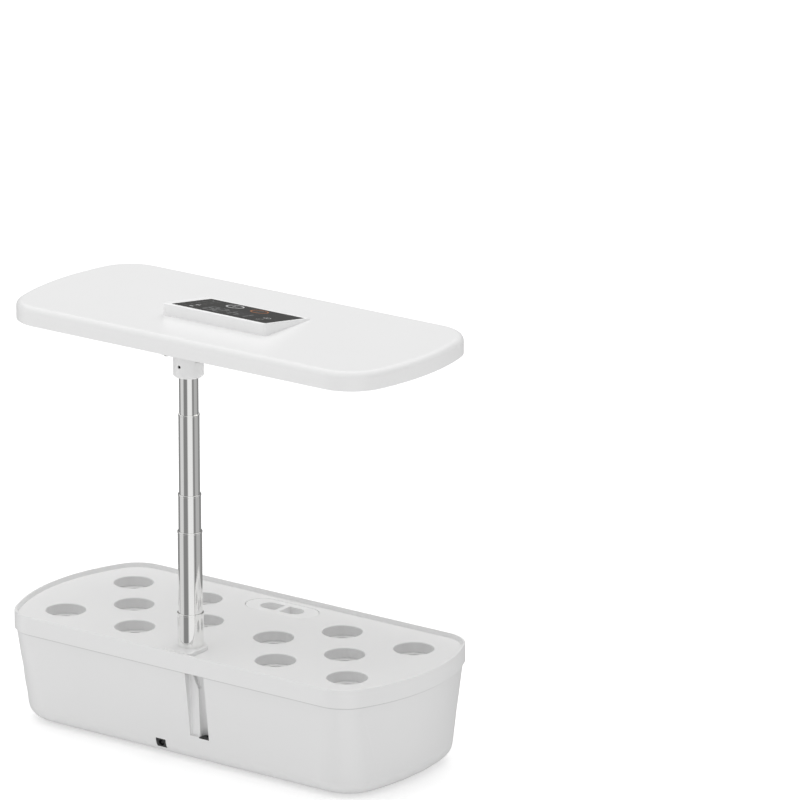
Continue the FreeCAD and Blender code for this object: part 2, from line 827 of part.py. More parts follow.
def pump_grommet():
    """The rubber bush that seals the pump's lead in the bay's front wall."""
    neck = Part.makeCylinder(grommet_radius, bay_wall, vec(grommet_x, bay_front_y, grommet_z), vec(0, 1, 0))
    flange = Part.makeCylinder(grommet_flange_radius, grommet_flange,
                               vec(grommet_x, bay_front_y - grommet_flange, grommet_z), vec(0, 1, 0))
    bore = Part.makeCylinder(pump_lead_radius, bay_wall + grommet_flange,
                             vec(grommet_x, bay_front_y - grommet_flange, grommet_z), vec(0, 1, 0))
    return neck.fuse(flange).cut(bore)


def pump_lead():
    """The pump's lead: straight from the pump's back through the grommet into the bay."""
    start = pump_y_high - pump_lead_seat
    finish = bay_front_y + bay_wall + pump_lead_reach
    return Part.makeCylinder(pump_lead_radius, finish - start, vec(pump_x, start, lead_exit_z), vec(0, 1, 0))


# Deck
pod_spots = [(x * pod_pitch_x, pod_row_y) for x in (-2, -1, 1, 2)]
pod_spots += [(x * pod_pitch_x, 0.0) for x in (-1.5, -0.5, 0.5, 1.5)]
pod_spots += [(x * pod_pitch_x, -pod_row_y) for x in (-2, -1, 1, 2)]
seat_back_y = deck_half_width - seat_back_inset
seat_screw_spots = [(side * seat_screw_x, seat_back_y - seat_screw_inset) for side in (-1, 1)]
cap_opening_length = cap_length + 2 * cap_clearance
cap_opening_width = cap_width + 2 * cap_clearance
cap_seat_top = deck_top - cap_plate
throat_length = cap_length - 2 * cap_seat_width
throat_width = cap_width - 2 * cap_seat_width
cap_boss_bottom = deck_top - cap_boss_depth
cap_plug_length = cap_length - 2 * cap_plug_inset
cap_plug_width = cap_width - 2 * cap_plug_inset


def deck_skin():
    """The skirt, the raised rim and the recessed top, open below."""
    block = slab(deck_form, skirt_bottom, rim_top)
    block = block.makeFillet(rim_edge_round, edges_at(block, rim_top))
    tray_low = inset(deck_form, rim_width + rim_slope)
    tray = tapered(tray_low, deck_top, inset(deck_form, rim_width), rim_top + sliver)
    room = slab(inset(deck_form, skirt_wall), skirt_bottom - past, deck_under)
    return block.cut(tray).cut(room)


def deck_tongue():
    """The wall under the deck that drops inside the tank's edge and centres the deck."""
    low = skirt_bottom - tongue_drop
    reach = skirt_overhang + tank_wall + tongue_clearance
    outer = slab(inset(deck_form, reach), low, deck_under + join)
    inner = slab(inset(deck_form, reach + tongue_wall), low, deck_under + join)
    wall = outer.cut(inner)
    half = channel_width / 2 + channel_wall + tongue_clearance
    gap = box(channel_centre_x - half, channel_centre_x + half, 0, 2 * deck_half_width, low - past,
              skirt_bottom + seam_gap)
    return wall.cut(gap)


def pod_collar(x, y):
    low = pod_ledge_top - pod_ledge_thickness
    wall = ring(x, y, low, deck_under + join, pod_hole_radius + pod_wall, pod_hole_radius)
    ledge = ring(x, y, low, pod_ledge_top, pod_hole_radius + join, pod_ledge_radius)
    return wall.fuse(ledge)


def filler_boss():
    outer = stadium(cap_x, cap_y, cap_boss_bottom, deck_under + join, cap_opening_length + 2 * cap_boss_wall,
                    cap_opening_width + 2 * cap_boss_wall)
    return outer


def pole_well():
    """The closed well that keeps the pole's foot dry in the tank."""
    low = tank_bottom + pole_socket_bottom - pole_well_floor
    return disc(0, pole_y, low, deck_under + join, pole_well_radius)


def deck():
    solid = deck_skin()
    parts = [deck_tongue(), filler_boss(), pole_well()]
    parts += [pod_collar(x, y) for x, y in pod_spots]
    solid = solid.multiFuse(parts)
    holes = [disc(x, y, deck_under - past, deck_top + past, pod_hole_radius) for x, y in pod_spots]
    holes.append(stadium(cap_x, cap_y, cap_seat_top, deck_top + past, cap_opening_length, cap_opening_width))
    holes.append(stadium(cap_x, cap_y, cap_boss_bottom - past, cap_seat_top + past,
                         throat_length, throat_width))
    well_bottom = tank_bottom + pole_socket_bottom
    holes.append(disc(0, pole_y, well_bottom, deck_top + past, pole_socket_radius + pole_fit))
    for x, y in seat_screw_spots:
        holes.append(disc(x, y, deck_under - past, deck_top + past, screw_radius + screw_fit))
    for hole in holes:
        solid = solid.cut(hole)
    mouths = [edge for edge in edges_at(solid, deck_top) if is_circle(edge, pod_hole_radius)]
    return solid.makeFillet(pod_edge_round, mouths)


def is_circle(edge, radius):
    return isinstance(edge.Curve, Part.Circle) and abs(edge.Curve.Radius - radius) < 0.01


def pole_seat():
    """The raised block round the pole's foot, level with the rim. Its front is half-round."""
    rear = box(-seat_half_width, seat_half_width, pole_y, seat_back_y, deck_top, rim_top)
    corners = [edge for edge in rear.Edges
               if abs(edge.tangentAt(edge.FirstParameter).z) > 0.9 and edge.CenterOfMass.y > pole_y + join]
    rear = rear.makeFillet(seat_corner, corners)
    block = rear.fuse(disc(0, pole_y, deck_top, rim_top, seat_half_width)).removeSplitter()
    block = block.makeFillet(seat_edge_round, edges_at(block, rim_top))
    block = block.cut(disc(0, pole_y, deck_top, rim_top, pole_socket_radius + pole_fit))
    for x, y in seat_screw_spots:
        block = block.cut(disc(x, y, deck_top, deck_top + seat_screw_hole, screw_radius))
    return block


def pole_seat_screws():
    length = deck_thickness + seat_screw_depth
    return group([screw(x, y, deck_under, length, -1) for x, y in seat_screw_spots])


# Filler cap
def cap_grip():
    """The bar across the finger pocket, narrower at its top."""
    low = deck_top - cap_pocket_depth
    wide = cap_grip_width / 2
    slim = cap_grip_top_width / 2
    y = cap_y - cap_pocket_width / 2
    corners = [vec(cap_x - wide, y, low), vec(cap_x + wide, y, low), vec(cap_x + slim, y, deck_top),
               vec(cap_x - slim, y, deck_top)]
    section = Part.Face(Part.makePolygon(corners + corners[:1]))
    return section.extrude(vec(0, cap_pocket_width, 0))


def filler_cap():
    lid = stadium(cap_x, cap_y, cap_seat_top, deck_top, cap_length, cap_width)
    lid = lid.makeFillet(cap_edge_round, edges_at(lid, deck_top))
    plug_bottom = cap_seat_top - cap_plug_depth
    plug = stadium(cap_x, cap_y, plug_bottom, cap_seat_top + join, cap_plug_length, cap_plug_width)
    groove_low = plug_bottom + cap_seal_lift
    groove = seal_ring(groove_low, groove_low + cap_seal_height, cap_groove_room)
    solid = lid.fuse(plug).cut(groove)
    pocket_bottom = deck_top - cap_pocket_depth
    pocket = stadium(cap_x, cap_y, pocket_bottom, deck_top + past, cap_pocket_length, cap_pocket_width)
    return solid.cut(pocket).fuse(cap_grip()).removeSplitter()


def seal_ring(z_low, z_high, extra):
    """A flat ring round the plug, let into it by half its width."""
    grow = cap_seal_thickness + extra
    outer = stadium(cap_x, cap_y, z_low, z_high, cap_plug_length + grow, cap_plug_width + grow)
    inner = stadium(cap_x, cap_y, z_low, z_high, cap_plug_length - cap_seal_thickness,
                    cap_plug_width - cap_seal_thickness)
    return outer.cut(inner)


def filler_cap_seal():
    low = cap_seat_top - cap_plug_depth + cap_seal_lift
    return seal_ring(low, low + cap_seal_height, 0)


# Grow baskets
def grow_basket(x, y):
    """A slotted cup whose flange rests on the pod's ledge."""
    flange_low = basket_top - basket_flange_thickness
    bottom = basket_top - basket_length
    neck_radius = pod_ledge_radius - basket_body_clearance
    flange = disc(x, y, flange_low, basket_top, pod_hole_radius - basket_flange_clearance)
    cone = Part.makeCone(basket_foot_radius, neck_radius, flange_low - bottom, vec(x, y, bottom))
    cup = flange.fuse(cone)
    hollow_low = bottom + basket_wall
    inner_foot = basket_foot_radius - basket_wall
    hollow = Part.makeCone(inner_foot, basket_mouth_radius, basket_top - hollow_low, vec(x, y, hollow_low))
    cup = cup.cut(hollow)
    slot_low = bottom + basket_slot_lift
    slot_high = flange_low - basket_slot_margin
    cutters = []
    for index in range(basket_slot_count // 2):
        cutter = box(x - neck_radius - past, x + neck_radius + past, y - basket_slot_width / 2,
                     y + basket_slot_width / 2, slot_low, slot_high)
        cutter.rotate(vec(x, y, 0), vec(0, 0, 1), index * 360.0 / basket_slot_count)
        cutters.append(cutter)
    cutters.append(disc(x, y, bottom - past, hollow_low + past, basket_drain_radius))
    for cutter in cutters:
        cup = cup.cut(cutter)
    return cup


# Pole
def stage_radius(stage):
    """The outside radius of tube 1, the thinnest, to tube 5, the socket."""
    return pole_top_radius + (stage - 1) * (pole_tube_wall + pole_tube_gap)


def stage_top(stage):
    return tank_bottom + pole_stage_tops[4 - stage]


def pole_tube(stage, z_low, z_high, has_lip):
    """A chromed tube. Its rolled lip closes round the next tube and stands a little proud."""
    radius = stage_radius(stage)
    tube = ring(0, pole_y, z_low, z_high, radius, radius - pole_tube_wall)
    if not has_lip:
        return tube
    throat = stage_radius(stage - 1) + pole_lip_clearance
    lip_radius = radius + pole_lip_proud
    lip = ring(0, pole_y, z_high - pole_lip_height, z_high, lip_radius, throat)
    lip = lip.makeFillet(pole_lip_proud, [edge for edge in lip.Edges if is_circle(edge, lip_radius)])
    return tube.fuse(lip)


def pole_glide(stage):
    """The plastic guide in a tube's foot. It slides in the next tube and carries the lamp's lead."""
    low = stage_top(stage) - pole_stage_length
    flange_radius = stage_radius(stage + 1) - pole_tube_wall - pole_glide_clearance
    high = low + pole_glide_flange + pole_glide_spigot
    flange = disc(0, pole_y, low, low + pole_glide_flange, flange_radius)
    spigot = disc(0, pole_y, low, high, stage_radius(stage) - pole_tube_wall)
    bore = disc(0, pole_y, low, high, pole_glide_bore)
    return flange.fuse(spigot).cut(bore)


def pole_socket_plug():
    low = tank_bottom + pole_socket_bottom
    return ring(0, pole_y, low, low + pole_plug_height, pole_socket_radius - pole_tube_wall, pole_glide_bore)


# Lamp
def lamp_window(grow, z_low, z_high):
    return rounded_box(-lamp_window_half_length - grow, lamp_window_half_length + grow,
                       lamp_window_front_y - grow, lamp_window_back_y + grow, z_low, z_high,
                       lamp_window_corner + grow)


lamp_frame_bottom = lamp_bottom + lamp_frame_lip
lamp_frame_top = lamp_frame_bottom + lamp_frame_height
led_board_top = lamp_top - lamp_wall - led_board_drop
led_board_bottom = led_board_top - board_thickness
lamp_post_reach_y = lamp_half_width - lamp_post_inset
lamp_post_y = (lamp_centre_y - lamp_post_reach_y, lamp_centre_y + lamp_post_reach_y)
lamp_post_spots = [(x, y) for x in lamp_post_x for y in lamp_post_y]
board_post_y = (lamp_window_front_y + board_post_inset, lamp_window_back_y - board_post_inset)
board_post_spots = [(x, y) for x in (-board_post_x, board_post_x) for y in board_post_y]


def lamp_cover():
    """The lamp's top moulding, with posts for the frame's screws and for the LED board."""
    block = slab(lamp_form, lamp_bottom, lamp_top, lamp_centre_y)
    block = block.makeFillet(lamp_top_fillet, edges_at(block, lamp_top))
    room = slab(inset(lamp_form, lamp_wall), lamp_bottom - past, lamp_top - lamp_wall, lamp_centre_y)
    inner_fillet = lamp_top_fillet - lamp_wall
    room = room.makeFillet(inner_fillet, edges_at(room, lamp_top - lamp_wall))
    cover = block.cut(room)
    posts = []
    for x, y in lamp_post_spots:
        posts.append(ring(x, y, lamp_frame_top, lamp_top - lamp_wall + join, lamp_post_radius, screw_radius))
    for x, y in board_post_spots:
        posts.append(ring(x, y, led_board_top, lamp_top - lamp_wall + join, lamp_post_radius, screw_radius))
    cover = cover.multiFuse(posts)
    return cover.cut(control_wire_hole())


def control_wire_hole():
    return box(-wire_hole_length / 2, wire_hole_length / 2, wire_hole_y, wire_hole_y + wire_hole_width,
               lamp_top - lamp_wall - past, lamp_top + past)


def lamp_frame():
    """The lamp's underside: a flat frame round the lens, inside the cover's wall."""
    frame = slab(inset(lamp_form, lamp_wall), lamp_frame_bottom, lamp_frame_top, lamp_centre_y)
    frame = frame.cut(lamp_window(0, lamp_frame_bottom - past, lamp_frame_top + past))
    low, high = lamp_frame_bottom - past, lamp_frame_top + past
    for x, y in lamp_post_spots:
        frame = frame.cut(disc(x, y, low, high, screw_radius + screw_fit))
    for x, y in collar_plate_screw_spots:
        frame = frame.cut(disc(x, y, low, high, screw_radius))
    return frame.cut(disc(0, pole_y, low, high, lead_hole_radius))


def lamp_lens():
    return lamp_window(lamp_lens_overlap, lamp_frame_top, lamp_frame_top + lamp_lens_thickness)


def led_board():
    board = lamp_window(-led_board_margin, led_board_bottom, led_board_top)
    for x, y in board_post_spots:
        board = board.cut(disc(x, y, led_board_bottom, led_board_top, screw_radius + screw_fit))
    return board


def led_spot(column, row):
    centre_y = (lamp_window_front_y + lamp_window_back_y) / 2
    x = (column - (led_columns - 1) / 2) * led_pitch_x
    return x, centre_y + (row - (led_rows - 1) / 2) * led_pitch_y


def leds(red):
    """The LED packages under the board: every fifth one, stepped by row, is red."""
    chips = []
    for row in range(led_rows):
        for column in range(led_columns):
            is_red = (column + 2 * row) % red_led_every == 0
            x, y = led_spot(column, row)
            if is_red == red:
                chips.append(box(x - led_length / 2, x + led_length / 2, y - led_width / 2, y + led_width / 2,
                                 led_board_bottom - led_height, led_board_bottom))
    return group(chips)


def lamp_screws():
    frame_length = lamp_frame_height + frame_screw_depth
    board_length = board_thickness + led_board_screw_depth
    plate_length = collar_plate_thickness + lamp_frame_height
    plate_bottom = collar_plate_top - collar_plate_thickness
    solids = [screw(x, y, lamp_frame_bottom, frame_length, -1) for x, y in lamp_post_spots]
    solids += [screw(x, y, led_board_bottom, board_length, -1) for x, y in board_post_spots]
    solids += [screw(x, y, plate_bottom, plate_length, -1) for x, y in collar_plate_screw_spots]
    return group(solids)


# Lamp collar
collar_plate_top = lamp_frame_bottom
collar_plate_screw_spots = [(x, y) for x in (-collar_plate_screw_x, collar_plate_screw_x)
                            for y in (collar_plate_front_y + collar_plate_screw_inset,
                                      collar_plate_back_y - collar_plate_screw_inset)]


def lamp_collar():
    """The socket on the pole's top tube, with the plate that the lamp is screwed to."""
    low = tank_bottom + collar_bottom
    plate_low = collar_plate_top - collar_plate_thickness
    barrel = disc(0, pole_y, low, collar_plate_top, collar_radius)
    barrel = barrel.makeChamfer(collar_chamfer, edges_at(barrel, low))
    plate = rounded_box(-collar_plate_half_length, collar_plate_half_length, collar_plate_front_y,
                        collar_plate_back_y, plate_low, collar_plate_top, collar_plate_corner)
    collar = barrel.fuse(plate)
    socket_top = stage_top(1) + pole_fit
    collar = collar.cut(disc(0, pole_y, low - past, socket_top, pole_top_radius + pole_fit))
    collar = collar.cut(disc(0, pole_y, socket_top - past, collar_plate_top + past, lead_hole_radius))
    for x, y in collar_plate_screw_spots:
        collar = collar.cut(disc(x, y, plate_low - past, collar_plate_top + past, screw_radius + screw_fit))
    hole_start = vec(0, pole_y + pole_top_radius, tank_bottom + collar_screw_z)
    return collar.cut(Part.makeCylinder(collar_screw_radius, collar_radius, hole_start, vec(0, 1, 0)))


def collar_set_screw():
    screw_length = collar_radius - pole_top_radius - collar_screw_recess
    start = vec(0, pole_y + pole_top_radius, tank_bottom + collar_screw_z)
    body = Part.makeCylinder(collar_screw_radius, screw_length, start, vec(0, 1, 0))
    drive_start = start + vec(0, screw_length - collar_screw_drive, 0)
    return body.cut(Part.makeCylinder(collar_drive_radius, collar_screw_drive, drive_start, vec(0, 1, 0)))


# Control pod
pod_low = lamp_top
pod_rise = pod_back_height - pod_front_height
pod_run = pod_back_y - pod_back_bevel - pod_front_y
pod_tilt = math.atan2(pod_rise, pod_run)


def along_slope(distance, depth=0.0):
    """A point in the pod's side view: so far up the slope from its front edge, so deep under its face."""
    y = pod_front_y + distance * math.cos(pod_tilt) + depth * math.sin(pod_tilt)
    z = pod_low + pod_front_height + distance * math.sin(pod_tilt) - depth * math.cos(pod_tilt)
    return y, z


slope_length = math.hypot(pod_rise, pod_run)


def tilted_plate(centre_x, x_half, start, finish, depth_low, depth_high, corner):
    """A plate parallel to the pod's sloping face."""
    plate = rounded_box(centre_x - x_half, centre_x + x_half, start, finish, -depth_low, -depth_high, corner)
    plate.rotate(vec(0, 0, 0), vec(1, 0, 0), math.degrees(pod_tilt))
    plate.translate(vec(0, pod_front_y, pod_low + pod_front_height))
    return plate


def wedge(side, shrink_top, low):
    """The pod's wedge, with sides pulled in by side and its face lowered by shrink_top."""
    front = along_slope(side, shrink_top)
    back = along_slope(slope_length - side, shrink_top)
    bevel_z = back[1] - pod_back_bevel
    back_y = pod_back_y - side
    points = [vec(0, front[0], low), vec(0, *front), vec(0, *back)]
    points += [vec(0, back_y, bevel_z), vec(0, back_y, low)]
    face = Part.Face(Part.makePolygon(points + points[:1]))
    half = pod_half_length - side
    face.translate(vec(-half, 0, 0))
    return face.extrude(vec(2 * half, 0, 0))


panel_start = panel_front_border
panel_finish = slope_length - panel_back_border


def panel_plate(grow, depth_low, depth_high):
    return tilted_plate(panel_centre_x, panel_length / 2 + grow, panel_start - grow, panel_finish + grow,
                        depth_low, depth_high, panel_corner)


def control_pod():
    """The wedge-shaped housing on the lamp, open below, with a seat for the touch panel."""
    shell = wedge(0, 0, pod_low)
    upright = [edge for edge in shell.Edges
               if abs(edge.tangentAt(edge.FirstParameter).z) > 0.99 and edge.Length > pod_back_height / 2]
    shell = shell.makeFillet(pod_corner, upright)
    room = wedge(pod_shell, pod_shell + panel_thickness, pod_low - past)
    shell = shell.cut(room)
    shell = shell.cut(panel_plate(panel_fit, panel_thickness, -past))
    return shell.cut(tilted_plate(panel_centre_x, panel_length / 2 - pod_ledge_side,
                                  panel_start + pod_ledge_front, panel_finish - pod_ledge_back,
                                  panel_thickness + pod_shell + past, 0, panel_corner))


def touch_panel():
    return panel_plate(0, panel_thickness, 0)


def display_module():
    """The digit block under the panel's window."""
    middle = (panel_start + panel_finish) / 2 + display_offset
    return tilted_plate(display_centre_x, display_length / 2, middle - display_width / 2,
                        middle + display_width / 2, panel_thickness + display_height, panel_thickness,
                        display_corner)


def control_board():
    """The board behind the panel, which carries the touch keys and the digit block."""
    depth = panel_thickness + display_height
    middle = (panel_start + panel_finish) / 2 + display_offset
    reach = display_width / 2 + control_board_edge
    return tilted_plate(display_centre_x, display_length / 2 + 2 * control_board_edge, middle - reach,
                        middle + reach, depth + control_board_thickness, depth, panel_corner)


def build():
    os.makedirs("parts", exist_ok=True)
    save("tank_shell", tank_shell())
    save("bottom_cover", bottom_cover())
    save("bottom_cover_screws", bottom_cover_screws())
    save("rubber_feet", group([rubber_foot(x, y) for x, y in foot_spots]))
    save("dc_jack", dc_jack())
    save("lamp_lead_socket", lead_socket())
    save("power_board", power_board())
    save("power_board_parts", power_board_parts())
    save("power_board_screws", board_screws())
    save("pump_body", pump_body())
    save("pump_strainer", pump_strainer())
    save("pump_shaft", pump_shaft())
    save("pump_impeller", pump_impeller())
    save("pump_suction_cups", suction_cups())
    save("pump_grommet", pump_grommet())
    save("pump_lead", pump_lead())

    save("deck", deck())
    save("pole_seat", pole_seat())
    save("pole_seat_screws", pole_seat_screws())
    save("filler_cap", filler_cap())
    save("filler_cap_seal", filler_cap_seal())
    for index, (x, y) in enumerate(pod_spots, start=1):
        save("grow_basket_%d" % index, grow_basket(x, y))

    save("pole_tube_5", pole_tube(5, tank_bottom + pole_socket_bottom, tank_bottom + pole_socket_top, True))
    save("pole_socket_plug", pole_socket_plug())
    for stage in (4, 3, 2, 1):
        low = stage_top(stage) - pole_stage_length + pole_glide_flange
        save("pole_tube_%d" % stage, pole_tube(stage, low, stage_top(stage), stage > 1))
        save("pole_glide_%d" % stage, pole_glide(stage))

    save("lamp_collar", lamp_collar())
    save("collar_set_screw", collar_set_screw())
    save("lamp_cover", lamp_cover())
    save("lamp_frame", lamp_frame())
    save("lamp_lens", lamp_lens())
    save("led_board", led_board())
    save("white_leds", leds(False))
    save("red_leds", leds(True))
    save("lamp_screws", lamp_screws())
    save("control_pod", control_pod())
    save("touch_panel", touch_panel())
    save("display_module", display_module())
    save("control_board", control_board())


build()
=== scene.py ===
import math

import bpy
import numpy as np
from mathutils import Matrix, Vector


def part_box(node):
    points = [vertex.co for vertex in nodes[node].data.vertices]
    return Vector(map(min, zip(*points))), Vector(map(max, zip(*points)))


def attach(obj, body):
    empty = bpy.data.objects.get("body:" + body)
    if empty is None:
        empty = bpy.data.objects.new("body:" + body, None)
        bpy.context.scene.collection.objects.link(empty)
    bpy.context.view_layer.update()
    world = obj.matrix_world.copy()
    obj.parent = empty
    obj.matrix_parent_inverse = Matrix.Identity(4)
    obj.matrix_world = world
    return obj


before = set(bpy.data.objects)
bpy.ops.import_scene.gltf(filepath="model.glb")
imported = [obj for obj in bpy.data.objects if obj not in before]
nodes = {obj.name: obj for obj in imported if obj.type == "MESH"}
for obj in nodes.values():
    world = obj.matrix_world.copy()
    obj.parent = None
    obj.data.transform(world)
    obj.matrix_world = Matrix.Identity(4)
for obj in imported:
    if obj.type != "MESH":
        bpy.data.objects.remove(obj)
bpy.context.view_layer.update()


# Camera
# The garden is seen from behind, from well back and a little above, with its rear left corner in front.
# Azimuth 0 looks along +Y. The long lens gives almost parallel sides.
VIEW_AZIMUTH = math.radians(216.44)
VIEW_ELEVATION = math.radians(16.88)
VIEW_DISTANCE = 6.33993
VIEW_TARGET = Vector((-0.11714, -0.07029, 0.30134))
LENS = 342.9
CLIP_RANGE = (0.1, 100.0)

view_back = Vector((math.sin(VIEW_AZIMUTH) * math.cos(VIEW_ELEVATION),
                    -math.cos(VIEW_AZIMUTH) * math.cos(VIEW_ELEVATION),
                    math.sin(VIEW_ELEVATION)))
camera_data = bpy.data.cameras.new("camera")
camera_data.lens = LENS
camera_data.clip_start, camera_data.clip_end = CLIP_RANGE
camera = bpy.data.objects.new("camera", camera_data)
camera.location = VIEW_TARGET + view_back * VIEW_DISTANCE
camera.rotation_mode = "QUATERNION"
camera.rotation_quaternion = (-view_back).to_track_quat("-Z", "Y")
bpy.context.scene.collection.objects.link(camera)
bpy.context.scene.camera = camera
bpy.context.scene.view_settings.view_transform = "Standard"


# Studio
# A white tabletop that runs to the horizon, a white surround, and broad lamps above and behind the camera.
# Shiny metal sees the surround's upright bands: white softboxes with grey flags between them.
SURROUND_BANDS = ((-180, 0.26), (-113, 0.70), (-63, 0.24), (-16, 0.87), (40, 0.24), (63, 0.46), (113, 0.26))
BAND_BLUR = 15.0
CEILING_RISE = (0.42, 0.62)
DOME_HEIGHTS = (-0.2, 0.9)
DOME_LEVELS = (0.437, 0.975)
DOME_SIDE = 0.10
FLOOR_RADIUS = 14.0
FLOOR_CORNERS = 64
FLOOR_TONE = (0.78, 0.78, 0.78, 1)
FLOOR_LIFT = 0.34
FLOOR_GLOW = 0.33
WHITE = (1, 1, 1, 1)


def node_of(tree, kind, **settings):
    """A new node with its inputs and properties set.
    An input is named by its socket, or by in_0, in_1 and so on."""
    made = tree.nodes.new(kind)
    for name, value in settings.items():
        if name.startswith("in_"):
            socket = made.inputs[int(name[3:])]
        elif name in made.inputs:
            socket = made.inputs[name]
        else:
            setattr(made, name, value)
            continue
        if isinstance(value, bpy.types.NodeSocket):
            tree.links.new(value, socket)
        else:
            socket.default_value = value
    return made


def maths(tree, operation, first, second=0.0, third=0.0):
    """The result of a Math node."""
    return node_of(tree, "ShaderNodeMath", operation=operation, in_0=first, in_1=second, in_2=third).outputs[0]


def choose(tree, factor, off, on):
    """The value off where the factor is 0, and the value on where it is 1."""
    mix = node_of(tree, "ShaderNodeMix", data_type="FLOAT", Factor=factor)
    for socket, value in ((mix.inputs[2], off), (mix.inputs[3], on)):
        if isinstance(value, bpy.types.NodeSocket):
            tree.links.new(value, socket)
        else:
            socket.default_value = value
    return mix.outputs[0]


def make_world():
    """Diffuse light comes from a dome that brightens upwards and a little towards +X.
    Reflections show the bands, and the eye sees plain white, directly and through clear plastic."""
    world = bpy.data.worlds.new("studio")
    world.use_nodes = True
    tree = world.node_tree
    tree.nodes.clear()
    direction = node_of(tree, "ShaderNodeTexCoord").outputs["Generated"]
    parts = node_of(tree, "ShaderNodeSeparateXYZ", in_0=direction)
    x, y, z = parts.outputs
    turned = maths(tree, "ARCTAN2", x, maths(tree, "MULTIPLY", y, -1.0))
    degrees = maths(tree, "MULTIPLY", turned, 180 / math.pi)
    relative = maths(tree, "WRAP", maths(tree, "SUBTRACT", degrees, math.degrees(VIEW_AZIMUTH)), 180.0, -180.0)
    level = SURROUND_BANDS[0][1]
    steps = SURROUND_BANDS[1:] + ((180, SURROUND_BANDS[0][1]),)
    for start, next_level in steps:
        rise = node_of(tree, "ShaderNodeMapRange", interpolation_type="SMOOTHSTEP", in_0=relative,
                       in_1=start - BAND_BLUR / 2, in_2=start + BAND_BLUR / 2, in_3=0.0,
                       in_4=next_level - level)
        total = rise.outputs[0] if start == steps[0][0] else maths(tree, "ADD", total, rise.outputs[0])
        level = next_level
    bands = maths(tree, "ADD", total, SURROUND_BANDS[0][1])
    ceiling = node_of(tree, "ShaderNodeMapRange", interpolation_type="SMOOTHSTEP", in_0=z,
                      in_1=CEILING_RISE[0], in_2=CEILING_RISE[1])
    reflected = choose(tree, ceiling.outputs[0], bands, 1.0)
    height = node_of(tree, "ShaderNodeMapRange", in_0=z, in_1=DOME_HEIGHTS[0], in_2=DOME_HEIGHTS[1],
                     in_3=DOME_LEVELS[0], in_4=DOME_LEVELS[1])
    dome = maths(tree, "MULTIPLY", height.outputs[0], maths(tree, "MULTIPLY_ADD", x, DOME_SIDE, 1.0))
    path = node_of(tree, "ShaderNodeLightPath")
    lit = choose(tree, path.outputs["Is Glossy Ray"], dome, reflected)
    to_eye = maths(tree, "MAXIMUM", path.outputs["Is Camera Ray"], path.outputs["Is Transmission Ray"])
    background = node_of(tree, "ShaderNodeBackground", Color=WHITE, Strength=choose(tree, to_eye, lit, 1.0))
    node_of(tree, "ShaderNodeOutputWorld", Surface=background.outputs[0])
    bpy.context.scene.world = world


def make_floor():
    """A round sheet of tabletop. Shiny metal looks through it to the surround, so that its bands run to
    the foot, and so does an eye below it."""
    angle = np.linspace(0, 2 * math.pi, FLOOR_CORNERS, endpoint=False)
    points = np.stack([FLOOR_RADIUS * np.cos(angle), FLOOR_RADIUS * np.sin(angle), 0 * angle], axis=1)
    mesh = bpy.data.meshes.new("floor")
    mesh.from_pydata(points.tolist(), [], [list(range(FLOOR_CORNERS))])
    material = bpy.data.materials.new("floor_white")
    material.use_nodes = True
    tree = material.node_tree
    tree.nodes.clear()
    path = node_of(tree, "ShaderNodeLightPath")
    white = node_of(tree, "ShaderNodeBsdfDiffuse", Color=FLOOR_TONE)
    lift = node_of(tree, "ShaderNodeEmission", Color=WHITE, Strength=FLOOR_LIFT)
    lit = node_of(tree, "ShaderNodeAddShader", in_0=white.outputs[0], in_1=lift.outputs[0])
    glow = node_of(tree, "ShaderNodeEmission", Color=WHITE, Strength=FLOOR_GLOW)
    bounced = node_of(tree, "ShaderNodeAddShader", in_0=white.outputs[0], in_1=glow.outputs[0])
    for_camera = node_of(tree, "ShaderNodeMixShader", in_0=path.outputs["Is Camera Ray"],
                         in_1=bounced.outputs[0], in_2=lit.outputs[0])
    through = node_of(tree, "ShaderNodeBsdfTransparent")
    below = node_of(tree, "ShaderNodeNewGeometry").outputs["Backfacing"]
    clear = maths(tree, "MAXIMUM", path.outputs["Is Glossy Ray"], below)
    shown = node_of(tree, "ShaderNodeMixShader", in_0=clear, in_1=for_camera.outputs[0],
                    in_2=through.outputs[0])
    node_of(tree, "ShaderNodeOutputMaterial", Surface=shown.outputs[0])
    mesh.materials.append(material)
    floor = bpy.data.objects.new("floor", mesh)
    bpy.context.scene.collection.objects.link(floor)


def make_softbox(name, place, aim, size, power):
    """A square lamp that lights the plastics but isn't reflected, because the surround stands for it there."""
    data = bpy.data.lights.new(name, "AREA")
    data.shape = "SQUARE"
    data.size = size
    data.energy = power
    lamp = bpy.data.objects.new(name, data)
    lamp.location = place
    lamp.rotation_mode = "QUATERNION"
    lamp.rotation_quaternion = (Vector(aim) - Vector(place)).to_track_quat("-Z", "Y")
    lamp.visible_glossy = False
    bpy.context.scene.collection.objects.link(lamp)


make_world()
make_floor()
make_softbox("softbox_above", (0.3, 0.2, 2.6), (0, 0, 0.1), 2.0, 13.5)
make_softbox("softbox_front", (0.5, -2.2, 2.4), (0, 0, 0.1), 2.0, 17.0)
make_softbox("softbox_rear", (0.9, 2.6, 1.3), (0, 0, 0.2), 1.8, 0.5)


# Tank shell
# One deep moulding in white ABS: drafted walls, a well-rounded foot, and the lead's channel down its rear.
# Injection moulded in a polished tool, so it has a satin gloss and a very fine grain.
GRAIN_DEPTH = 0.0001
SURFACE_OUTPUTS = (("Color", "NodeSocketColor"), ("Roughness", "NodeSocketFloat"),
                   ("Normal", "NodeSocketVector"))


